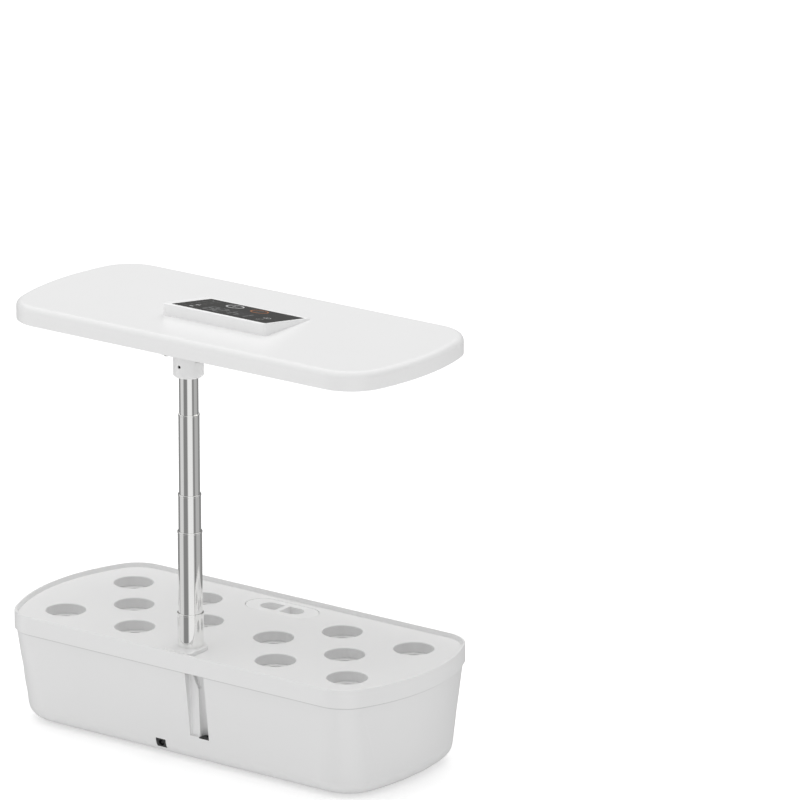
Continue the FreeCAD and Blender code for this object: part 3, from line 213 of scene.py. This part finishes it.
def look_group(name, inputs, outputs):
    """An empty group of shader nodes, its inputs and its outputs.
    Each input is given as a name and its first value, each output as a name and its kind."""
    group = bpy.data.node_groups.new(name, "ShaderNodeTree")
    for label, value in inputs:
        kind = "NodeSocketColor" if isinstance(value, tuple) else "NodeSocketFloat"
        socket = group.interface.new_socket(name=label, in_out="INPUT", socket_type=kind)
        socket.default_value = value
    for label, kind in outputs:
        group.interface.new_socket(name=label, in_out="OUTPUT", socket_type=kind)
    return group, group.nodes.new("NodeGroupInput").outputs, group.nodes.new("NodeGroupOutput").inputs


def swing_round(group, value, middle, reach):
    """How far a noise stands from its middle, times reach."""
    return maths(group, "MULTIPLY", maths(group, "SUBTRACT", value, middle), reach)


def moulded_group():
    """The look of moulded plastic: a slow drift of tone, handling marks in the gloss, and a fine grain."""
    inputs = (("Tone", (0.8, 0.8, 0.8, 1)), ("Drift", 0.02), ("Gloss", 0.35), ("Marks", 0.06),
              ("Grain Scale", 1400.0), ("Grain", 0.08))
    group, given, result = look_group("moulded_plastic", inputs, SURFACE_OUTPUTS)
    where = node_of(group, "ShaderNodeTexCoord").outputs["Object"]
    slow = node_of(group, "ShaderNodeTexNoise", Vector=where, Scale=7.0, Detail=3.0, Roughness=0.5).outputs[0]
    value = maths(group, "ADD", swing_round(group, slow, 0.5, given["Drift"]), 1.0)
    shade = node_of(group, "ShaderNodeHueSaturation", Value=value, Color=given["Tone"])
    marks = node_of(group, "ShaderNodeTexNoise", Vector=where, Scale=42.0, Detail=6.0, Roughness=0.62,
                    Distortion=0.6).outputs[0]
    rough = maths(group, "ADD", given["Gloss"], swing_round(group, marks, 0.5, given["Marks"]))
    grain = node_of(group, "ShaderNodeTexNoise", Vector=where, Scale=given["Grain Scale"], Detail=2.0)
    bump = node_of(group, "ShaderNodeBump", Strength=given["Grain"], Distance=GRAIN_DEPTH,
                   Height=grain.outputs[0])
    group.links.new(shade.outputs[0], result["Color"])
    group.links.new(rough, result["Roughness"])
    group.links.new(bump.outputs[0], result["Normal"])
    return group


def surfaced(name, group, **values):
    """A material whose colour, roughness and normal come from a look group with these values."""
    material = bpy.data.materials.new(name)
    material.use_nodes = True
    tree = material.node_tree
    surface = tree.nodes["Principled BSDF"]
    look = node_of(tree, "ShaderNodeGroup", node_tree=group)
    for socket, value in values.items():
        look.inputs[socket.replace("_", " ")].default_value = value
    tree.links.new(look.outputs["Color"], surface.inputs["Base Color"])
    tree.links.new(look.outputs["Roughness"], surface.inputs["Roughness"])
    tree.links.new(look.outputs["Normal"], surface.inputs["Normal"])
    return material


moulded_plastic = moulded_group()


def plastic(name, tone, gloss=0.35, marks=0.06, drift=0.02, grain_scale=1400.0, grain=0.08, **shader):
    """A moulded plastic. The shader's constant numbers stand on its own sockets."""
    material = surfaced(name, moulded_plastic, Tone=(*tone, 1), Drift=drift, Gloss=gloss, Marks=marks,
                        Grain_Scale=grain_scale, Grain=grain)
    surface = material.node_tree.nodes["Principled BSDF"]
    for socket, value in shader.items():
        surface.inputs[socket.replace("_", " ")].default_value = value
    return material


def dress(names, material):
    """Puts one material on these nodes."""
    for name in names:
        slots = nodes[name].data.materials
        slots.clear()
        slots.append(material)


SEAM_SHADE = (0.0822, 0.0834)
SEAM_DEPTH = 0.3


def shade_seam(material):
    """Darkens the colour in the top of the tank's wall, where the deck's skirt shades it."""
    tree = material.node_tree
    colour = tree.nodes["Principled BSDF"].inputs["Base Color"]
    clean = colour.links[0].from_socket
    where = node_of(tree, "ShaderNodeTexCoord").outputs["Object"]
    z = node_of(tree, "ShaderNodeSeparateXYZ", in_0=where).outputs[2]
    shade = node_of(tree, "ShaderNodeMapRange", interpolation_type="SMOOTHSTEP", in_0=z, in_1=SEAM_SHADE[0],
                    in_2=SEAM_SHADE[1], in_3=1.0, in_4=1.0 - SEAM_DEPTH)
    shaded = node_of(tree, "ShaderNodeHueSaturation", Value=shade.outputs[0], Color=clean)
    tree.links.new(shaded.outputs[0], colour)
    return material


dress(["tank_shell"], shade_seam(plastic("tank_plastic", (0.741, 0.741, 0.741), gloss=0.34)))


# Bottom cover and feet
# The hatch under the dry bay is a flat plate of the tank's own plastic, held by four steel screws.
# The feet are turned rubber discs pressed into shallow seats.
rubber = plastic("foot_rubber", (0.035, 0.036, 0.038), gloss=0.72, marks=0.2, drift=0.3, grain_scale=900.0,
                 grain=0.5, Specular_IOR_Level=0.3)
dress(["bottom_cover"], plastic("cover_plastic", (0.77, 0.77, 0.77), gloss=0.42))
dress(["rubber_feet", "pump_suction_cups", "pump_grommet"], rubber)


STREAK_DEPTH = 0.00002
STREAK_STRETCH = (30.0, 30.0, 2600.0)
SMOOTHEST = 0.02


def metal_group():
    """The look of plated or turned steel: faint streaks round the part, fine scuffs, a slow drift of tone."""
    inputs = (("Tone", (0.7, 0.7, 0.7, 1)), ("Gloss", 0.2), ("Scuffs", 0.08), ("Streaks", 0.1))
    group, given, result = look_group("worked_metal", inputs, SURFACE_OUTPUTS)
    where = node_of(group, "ShaderNodeTexCoord").outputs["Object"]
    scuffs = node_of(group, "ShaderNodeTexNoise", Vector=where, Scale=160.0, Detail=5.0,
                     Roughness=0.6).outputs[0]
    worn = maths(group, "ADD", given["Gloss"], swing_round(group, scuffs, 0.45, given["Scuffs"]))
    stretched = node_of(group, "ShaderNodeMapping", Vector=where, Scale=STREAK_STRETCH).outputs[0]
    streaks = node_of(group, "ShaderNodeTexNoise", Vector=stretched, Scale=1.0, Detail=2.0).outputs[0]
    bump = node_of(group, "ShaderNodeBump", Strength=given["Streaks"], Distance=STREAK_DEPTH, Height=streaks)
    slow = node_of(group, "ShaderNodeTexNoise", Vector=where, Scale=24.0, Detail=2.0).outputs[0]
    value = maths(group, "ADD", swing_round(group, slow, 0.5, 0.06), 1.0)
    shade = node_of(group, "ShaderNodeHueSaturation", Value=value, Color=given["Tone"])
    group.links.new(shade.outputs[0], result["Color"])
    group.links.new(maths(group, "MAXIMUM", worn, SMOOTHEST), result["Roughness"])
    group.links.new(bump.outputs[0], result["Normal"])
    return group


worked_metal = metal_group()


def metal(name, tone, gloss=0.2, scuffs=0.08, streaks=0.1):
    """A bare or plated metal."""
    material = surfaced(name, worked_metal, Tone=(*tone, 1), Gloss=gloss, Scuffs=scuffs, Streaks=streaks)
    material.node_tree.nodes["Principled BSDF"].inputs["Metallic"].default_value = 1.0
    return material


screw_steel = metal("screw_steel", (0.62, 0.62, 0.6), gloss=0.28, streaks=0.3)
dress(["bottom_cover_screws", "power_board_screws"], screw_steel)


# Sockets
# The power socket is a black nylon block with a round mouth and a pin, set in the rear wall. The lamp lead's
# socket stands in the channel's floor.
black_nylon = plastic("black_nylon", (0.018, 0.018, 0.019), gloss=0.4, marks=0.12, drift=0.2, grain=0.2)
dress(["dc_jack", "lamp_lead_socket"], black_nylon)


# Power board
# A green fibreglass board in the dry bay, with a capacitor, a coil and two chips soldered on.
TRACK_DEPTH = 0.00004


def board_group():
    """The look of a lacquered board: copper tracks that show through as lighter squares and lines."""
    inputs = (("Lacquer", (0.0, 0.1, 0.0, 1)), ("Track", (0.0, 0.2, 0.0, 1)))
    group, given, result = look_group("board_tracks", inputs, (("Color", "NodeSocketColor"),
                                                               ("Height", "NodeSocketFloat")))
    where = node_of(group, "ShaderNodeTexCoord").outputs["Object"]
    cells = node_of(group, "ShaderNodeTexBrick", Vector=where, Scale=160.0, Color1=(0, 0, 0, 1),
                    Color2=(1, 1, 1, 1), Mortar=(0.5, 0.5, 0.5, 1))
    level = node_of(group, "ShaderNodeMapRange", in_0=cells.outputs["Color"], in_1=0.35, in_2=0.65).outputs[0]
    shade = node_of(group, "ShaderNodeMix", data_type="RGBA", Factor=level)
    group.links.new(given["Lacquer"], shade.inputs[6])
    group.links.new(given["Track"], shade.inputs[7])
    group.links.new(shade.outputs[2], result["Color"])
    group.links.new(level, result["Height"])
    return group


board_tracks = board_group()


def circuit_board(name, lacquer, track):
    """A glossy board whose tracks stand up a little."""
    material = bpy.data.materials.new(name)
    material.use_nodes = True
    tree = material.node_tree
    surface = tree.nodes["Principled BSDF"]
    surface.inputs["Roughness"].default_value = 0.32
    look = node_of(tree, "ShaderNodeGroup", node_tree=board_tracks, Lacquer=(*lacquer, 1), Track=(*track, 1))
    bump = node_of(tree, "ShaderNodeBump", Strength=0.3, Distance=TRACK_DEPTH, Height=look.outputs["Height"])
    tree.links.new(look.outputs["Color"], surface.inputs["Base Color"])
    tree.links.new(bump.outputs[0], surface.inputs["Normal"])
    return material


green_board = circuit_board("green_board", (0.010, 0.085, 0.035), (0.022, 0.14, 0.06))
dress(["power_board", "control_board"], green_board)
dress(["power_board_parts"], plastic("component_black", (0.03, 0.03, 0.034), gloss=0.35, drift=0.3))


# Water pump
# A black polypropylene pump with a slotted foot, held down by four suction cups. Its impeller is white acetal
# and turns on a steel pin. The lead runs back through a rubber bush.
acetal = plastic("acetal", (0.66, 0.66, 0.63), gloss=0.3, drift=0.03)
dress(["pump_body", "pump_strainer"], plastic("pump_plastic", (0.022, 0.023, 0.025), gloss=0.46, marks=0.14,
                                              drift=0.25, grain=0.3))
dress(["pump_impeller"], acetal)
dress(["pump_shaft"], metal("pin_steel", (0.66, 0.65, 0.63), gloss=0.14))
dress(["pump_lead"], plastic("lead_jacket", (0.02, 0.02, 0.021), gloss=0.5, marks=0.1, drift=0.2))


# Deck
# The lid of the tank is one white moulding: a skirt, a raised rim, a recessed top with twelve pod holes, and
# the well that keeps the pole's foot dry. It drops into the tank and lifts off by hand.
dress(["deck"], plastic("deck_plastic", (0.755, 0.755, 0.755), gloss=0.3, marks=0.05))


# Pole seat
# A separate moulding, level with the rim, screwed up from under the deck. It steadies the pole's foot.
dress(["pole_seat"], plastic("seat_plastic", (0.775, 0.775, 0.775), gloss=0.3))
dress(["pole_seat_screws"], screw_steel)


# Filler cap
# A white stadium-shaped lid with a finger pocket and a grip bar. A clear grey silicone ring seals its plug.
dress(["filler_cap"], plastic("cap_plastic", (0.775, 0.775, 0.775), gloss=0.3))
dress(["filler_cap_seal"], plastic("seal_silicone", (0.42, 0.43, 0.44), gloss=0.55, Subsurface_Weight=0.1,
                                   Subsurface_Radius=(0.002, 0.002, 0.002)))


# Grow baskets
# Twelve slotted polypropylene cups, thinner and a little more see-through than the deck.
basket_plastic = plastic("basket_plastic", (0.70, 0.70, 0.70), gloss=0.38, Subsurface_Weight=0.15,
                         Subsurface_Radius=(0.0015, 0.0015, 0.0015))
dress(["grow_basket_%d" % number for number in range(1, 13)], basket_plastic)


# Pole
# Five chromed steel tubes that slide inside each other. The widest stays in the deck's well. A plastic glide
# in each tube's foot grips the next tube, so the lamp stays where it is put.
chrome = metal("chrome", (0.90, 0.90, 0.89), gloss=0.06, scuffs=0.03, streaks=0.04)
dress(["pole_tube_%d" % number for number in range(1, 6)], chrome)
dress(["pole_glide_%d" % number for number in range(1, 5)], acetal)
dress(["pole_socket_plug"], acetal)


# Lamp collar
# A white socket with a chamfered foot, screwed under the lamp. A black set screw locks it on the top tube.
dress(["lamp_collar"], plastic("collar_plastic", (0.765, 0.765, 0.765), gloss=0.34))
dress(["collar_set_screw"], metal("black_steel", (0.045, 0.045, 0.047), gloss=0.4))


# Lamp
# A shallow white housing, open below, with a flat frame round a diffusing lens. The board above the lens
# carries rows of white LEDs with a red one every fifth place.
dress(["lamp_cover"], plastic("lamp_plastic", (0.808, 0.808, 0.808), gloss=0.3, marks=0.05))
dress(["lamp_frame"], plastic("frame_plastic", (0.775, 0.775, 0.775), gloss=0.36))
dress(["lamp_screws"], screw_steel)
dress(["led_board"], plastic("led_board_white", (0.78, 0.78, 0.76), gloss=0.3, drift=0.04))
dress(["white_leds"], plastic("led_white", (0.85, 0.72, 0.25), gloss=0.25, drift=0.1,
                              Emission_Color=(1, 0.93, 0.75, 1), Emission_Strength=0.6))
dress(["red_leds"], plastic("led_red", (0.75, 0.12, 0.08), gloss=0.25, drift=0.1))
dress(["lamp_lens"], plastic("lens_clear", (0.93, 0.94, 0.94), gloss=0.3, marks=0.1, Transmission_Weight=0.82,
                             IOR=1.49, Emission_Color=(1, 0.98, 0.97, 1), Emission_Strength=0.36))


# Control pod
# The wedge on the lamp is a separate white moulding with a rear bevel. The touch panel is a black foil that
# lies in its sloping face, over the display and the control board.
# The pod's tone is set well above the lamp's white. This is painted light that brightens the pod's shaded rear
# face, not a different plastic.
dress(["control_pod"], plastic("pod_plastic_painted_lift", (0.93, 0.93, 0.93), gloss=0.3))
dress(["touch_panel"], plastic("panel_foil", (0.029, 0.029, 0.027), gloss=0.46, marks=0.05, drift=0.1,
                               Specular_IOR_Level=0.27))
dress(["display_module"], black_nylon)


# Panel print
# The legends are printed on the touch panel's foil. Lit ones glow through it, unlit ones are a dull grey.
# Each ink is one thin piece. The artwork has seventeen steps to the millimetre, x to the right and y down.
FACE_RISE, FACE_RUN = 9.3, 60.2
PANEL_TILT = math.atan2(FACE_RISE, FACE_RUN)
PANEL_THICKNESS = 0.0015
PRINT_CENTRE_X = -0.0015
PRINT_MIDDLE = (705.6, 457.3)
PRINT_SCALE = 17000.0
INK_DEPTH = 0.00002
WINDOW_LIFT, LEGEND_LIFT = 0.00002, 0.00004

WINDOW_MIDDLE, WINDOW_SIZE = (705, 276.5), (910, 419)
DIGIT_LEFTS = (340, 506, 770, 936)
DIGIT_LIT = ("fe", "fgbc", "abged", "abcdefg")
DIGIT_WIDTH, DIGIT_TOP, DIGIT_FOOT = 138, 120, 411
BAR_WIDTH, BAR_GAP = 22, 3
COLON_X, COLON_ROWS, COLON_SIZE = 707, (231, 300), (20, 22)

KEY_RADIUS, KEY_STROKE = 135, 24
TIMER_KEY, MODE_KEY, MODE_HEIGHT = (489, 714), (923, 714), 64
KEY_ICON_RADIUS, KEY_ICON_STROKE = 29, 5
KEY_TIMER, KEY_CLOCK, KEY_CLOCK_HANDS = (489, 684), (488, 757), ((0, -17), (13, 9))

ICON_RADIUS, TIMER_STROKE, CLOCK_STROKE = 55, 10, 9
TIMER_ICON, CLOCK_ICON, CLOCK_HANDS = (93, 192), (93, 373), ((0, -34), (26, 20))

MARK_X, MARK_SIZE, DOT_RADIUS = 1269, (66, 33), 9
MARKS_WHITE, MARKS_FAINT = (144, 300), (459, 616, 774)
DOTS_WHITE, DOTS_GREY, DOTS_FAINT = (254, 349), (222, 380), (189, 411, 507, 538, 569, 664, 695, 727)
LABEL_X, LABEL_HEIGHT = 1396, 36
LABELS = (("12 h", 144), ("14 h", 303), ("16 h", 462), ("24 h", 621))
MOON, MOON_RADIUS, MOON_SHIFT, MOON_BITE, MOON_TURN = (1380, 775), 30, 16, 25, math.radians(35)

panel_low, panel_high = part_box("touch_panel")
face_front = (panel_low[1], panel_low[2] + PANEL_THICKNESS * math.cos(PANEL_TILT))
face_back = (panel_high[1] - PANEL_THICKNESS * math.sin(PANEL_TILT), panel_high[2])


def on_panel(points, lift):
    """Artwork points laid on the sloping face, raised by lift along its normal:
    y = middle + v cos(tilt) - lift sin(tilt), z = middle + v sin(tilt) + lift cos(tilt)."""
    u = (points[:, 0] - PRINT_MIDDLE[0]) / PRINT_SCALE
    v = (PRINT_MIDDLE[1] - points[:, 1]) / PRINT_SCALE
    y = (face_front[0] + face_back[0]) / 2 + v * math.cos(PANEL_TILT) - lift * math.sin(PANEL_TILT)
    z = (face_front[1] + face_back[1]) / 2 + v * math.sin(PANEL_TILT) + lift * math.cos(PANEL_TILT)
    return np.stack([PRINT_CENTRE_X + u, y, z], axis=1)


def rectangle(middle, size):
    """The four corners, half the size to each side of the middle."""
    reach = np.array([[-1, 1], [1, 1], [1, -1], [-1, -1]]) / 2
    return reach * size + middle, None


def circle_points(middle, radius, count=96):
    """(x + r cos a, y - r sin a), anticlockwise as the eye sees it."""
    angle = np.linspace(0, 2 * math.pi, count, endpoint=False)
    return np.stack([middle[0] + radius * np.cos(angle), middle[1] - radius * np.sin(angle)], axis=1)


def spot(middle):
    """A dot: one small circle."""
    return circle_points(middle, DOT_RADIUS, 24), None


def hoop(middle, radius, width):
    """A ring: an outer circle and the inner circle that is its hole."""
    return circle_points(middle, radius), circle_points(middle, radius - width)


def moon():
    """The outer circle's arc and, back again, the arc of a smaller circle set to one side, both turned."""
    cross = (MOON_RADIUS ** 2 - MOON_BITE ** 2 + MOON_SHIFT ** 2) / (2 * MOON_SHIFT)
    half = math.acos(cross / MOON_RADIUS)
    inner_half = math.acos((cross - MOON_SHIFT) / MOON_BITE)
    outer = np.linspace(half, 2 * math.pi - half, 40)
    inner = np.linspace(2 * math.pi - inner_half, inner_half, 30)[1:-1]
    x = np.concatenate([MOON_RADIUS * np.cos(outer), MOON_SHIFT + MOON_BITE * np.cos(inner)])
    y = np.concatenate([MOON_RADIUS * np.sin(outer), MOON_BITE * np.sin(inner)])
    across, along = math.cos(MOON_TURN), math.sin(MOON_TURN)
    return np.stack([x * across - y * along, -x * along - y * across], axis=1) + MOON, None


def stroke_frame(start, finish, width):
    """The ends of a stroke as arrays, its direction, and half its width to one side."""
    start, finish = np.array(start, float), np.array(finish, float)
    along = (finish - start) / np.linalg.norm(finish - start)
    return start, finish, along, np.array([-along[1], along[0]]) * width / 2


def bar_between(start, finish, width):
    """A straight stroke: both ends, each moved half the width to both sides."""
    start, finish, along, side = stroke_frame(start, finish, width)
    return np.array([start + side, finish + side, finish - side, start - side]), None


def digit_bar(start, finish):
    """A digit's bar with pointed ends: a hexagon along the line, short of both ends by the gap."""
    start, finish, along, side = stroke_frame(start, finish, BAR_WIDTH)
    start, finish, tip = start + along * BAR_GAP, finish - along * BAR_GAP, along * BAR_WIDTH / 2
    return np.array([start, start + tip + side, finish - tip + side, finish, finish - tip - side,
                     start + tip - side]), None


def digit(left, lit):
    """The seven bars of a digit, by the usual letters a to g, split into the lit ones and the others."""
    middle = (DIGIT_TOP + DIGIT_FOOT) / 2
    x_low, x_high = left + BAR_WIDTH / 2, left + DIGIT_WIDTH - BAR_WIDTH / 2
    y_low, y_high = DIGIT_TOP + BAR_WIDTH / 2, DIGIT_FOOT - BAR_WIDTH / 2
    ends = {"a": ((x_low, y_low), (x_high, y_low)), "b": ((x_high, y_low), (x_high, middle)),
            "c": ((x_high, middle), (x_high, y_high)), "d": ((x_low, y_high), (x_high, y_high)),
            "e": ((x_low, middle), (x_low, y_high)), "f": ((x_low, y_low), (x_low, middle)),
            "g": ((x_low, middle), (x_high, middle))}
    return ([digit_bar(*line) for letter, line in ends.items() if letter in lit],
            [digit_bar(*line) for letter, line in ends.items() if letter not in lit])


def clock_icon(middle, radius, stroke, hands):
    """A ring, and hands that run out from its middle."""
    x, y = middle
    return [hoop(middle, radius, stroke)] + [bar_between(middle, (x + dx, y + dy), stroke) for dx, dy in hands]


def timer_icon(middle, radius, stroke):
    """A stopwatch: a ring, a stem, a button on it, and two hands."""
    x, y = middle
    return clock_icon(middle, radius, stroke, ((0, -radius * 0.55), (radius * 0.45, 0))) + [
        bar_between((x, y - radius), (x, y - radius * 1.28), stroke),
        bar_between((x - radius * 0.32, y - radius * 1.3), (x + radius * 0.32, y - radius * 1.3), stroke)]


def ink(name, tone, light=(1, 1, 1), power=0.0):
    """Ink on the foil, with the light behind it shining through."""
    return plastic(name, tone, gloss=0.5, marks=0.04, drift=0.06, Emission_Color=(*light, 1),
                   Emission_Strength=power, Specular_IOR_Level=0.3)


def plate(outline, hole, lift, start):
    """The points and faces of one thin plate: its top at lift, its foot just inside the foil, and a wall
    round each outline. The points are numbered from start."""
    loops = [outline] if hole is None else [outline, hole]
    points = [on_panel(loop, height) for loop in loops for height in (lift, -INK_DEPTH)]
    top = np.arange(len(outline)) + start
    foot = top + len(outline)
    ahead = np.roll(np.arange(len(outline)), -1)
    faces = np.stack([foot, foot[ahead], top[ahead], top], axis=1).tolist()
    if hole is None:
        return points, faces + [top.tolist(), foot[::-1].tolist()]
    top_in, foot_in = top + 2 * len(outline), foot + 2 * len(outline)
    faces += np.stack([foot_in[ahead], foot_in, top_in, top_in[ahead]], axis=1).tolist()
    faces += np.stack([top, top[ahead], top_in[ahead], top_in], axis=1).tolist()
    faces += np.stack([foot[ahead], foot, foot_in, foot_in[ahead]], axis=1).tolist()
    return points, faces


def lettering(body, middle, height, lift, start):
    """The points and faces of a line of plain letters, brought to this height round their middle."""
    curve = bpy.data.curves.new("label", "FONT")
    curve.body = body
    curve.align_x, curve.align_y = "CENTER", "CENTER"
    curve.extrude = 0.5
    letters = bpy.data.objects.new("label", curve)
    mesh = bpy.data.meshes.new_from_object(letters)
    flat = np.empty(3 * len(mesh.vertices))
    mesh.vertices.foreach_get("co", flat)
    flat = flat.reshape(-1, 3)
    size = height / np.ptp(flat[:, 1])
    centre = (flat.max(axis=0) + flat.min(axis=0)) / 2
    spread = (flat - centre)[:, :2] * (size, -size) + middle
    points = np.where(flat[:, 2:] > 0, on_panel(spread, lift), on_panel(spread, -INK_DEPTH))
    faces = [[corner + start for corner in face.vertices] for face in mesh.polygons]
    bpy.data.objects.remove(letters)
    bpy.data.curves.remove(curve)
    bpy.data.meshes.remove(mesh)
    return [points], faces


def print_piece(name, material, shapes, texts=(), lift=LEGEND_LIFT):
    """One ink's plates and letters in one mesh, fixed to the lamp."""
    points, faces = [], []
    for outline, hole in shapes:
        more_points, more_faces = plate(outline, hole, lift, sum(map(len, points)))
        points += more_points
        faces += more_faces
    for body, middle, height in texts:
        more_points, more_faces = lettering(body, middle, height, lift, sum(map(len, points)))
        points += more_points
        faces += more_faces
    mesh = bpy.data.meshes.new(name)
    mesh.from_pydata(np.concatenate(points).tolist(), [], faces)
    mesh.materials.append(material)
    piece = bpy.data.objects.new(name, mesh)
    bpy.context.scene.collection.objects.link(piece)
    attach(piece, "lamp")


digits = [digit(left, lit) for left, lit in zip(DIGIT_LEFTS, DIGIT_LIT)]
lit_shapes = [bar for lit, unlit in digits for bar in lit]
lit_shapes += [rectangle((COLON_X, row), COLON_SIZE) for row in COLON_ROWS]
print_piece("panel_window", ink("smoked_window", (0.030, 0.030, 0.029)),
            [rectangle(WINDOW_MIDDLE, WINDOW_SIZE)], lift=WINDOW_LIFT)
print_piece("panel_digits_lit", ink("digit_lit", (0.13, 0.13, 0.13), (0.9, 0.93, 0.95), 0.07), lit_shapes)
print_piece("panel_digits_unlit", ink("digit_unlit", (0.055, 0.055, 0.055), power=0.004),
            [bar for lit, unlit in digits for bar in unlit])

white_shapes = clock_icon(CLOCK_ICON, ICON_RADIUS, CLOCK_STROKE, CLOCK_HANDS)
white_shapes += [hoop(MODE_KEY, KEY_RADIUS, KEY_STROKE)]
white_shapes += [rectangle((MARK_X, row), MARK_SIZE) for row in MARKS_WHITE]
white_shapes += [spot((MARK_X, row)) for row in DOTS_WHITE]
grey_shapes = timer_icon(TIMER_ICON, ICON_RADIUS, TIMER_STROKE) + [moon()]
grey_shapes += timer_icon(KEY_TIMER, KEY_ICON_RADIUS, KEY_ICON_STROKE)
grey_shapes += clock_icon(KEY_CLOCK, KEY_ICON_RADIUS, KEY_ICON_STROKE, KEY_CLOCK_HANDS)
grey_shapes += [spot((MARK_X, row)) for row in DOTS_GREY]
faint_shapes = [rectangle((MARK_X, row), MARK_SIZE) for row in MARKS_FAINT]
faint_shapes += [spot((MARK_X, row)) for row in DOTS_FAINT]
print_piece("panel_print_white", ink("ink_white", (0.42, 0.42, 0.42), (0.9, 0.93, 0.95), 0.10), white_shapes,
            [("M", MODE_KEY, MODE_HEIGHT)])
print_piece("panel_print_grey", ink("ink_grey", (0.18, 0.18, 0.18), power=0.01), grey_shapes,
            [(label, (LABEL_X, row), LABEL_HEIGHT) for label, row in LABELS])
print_piece("panel_print_faint", ink("ink_faint", (0.085, 0.085, 0.083)), faint_shapes)
print_piece("panel_print_orange", ink("ink_orange", (0.30, 0.13, 0.06), (0.87, 0.2, 0.016), 0.06),
            [hoop(TIMER_KEY, KEY_RADIUS, KEY_STROKE)])
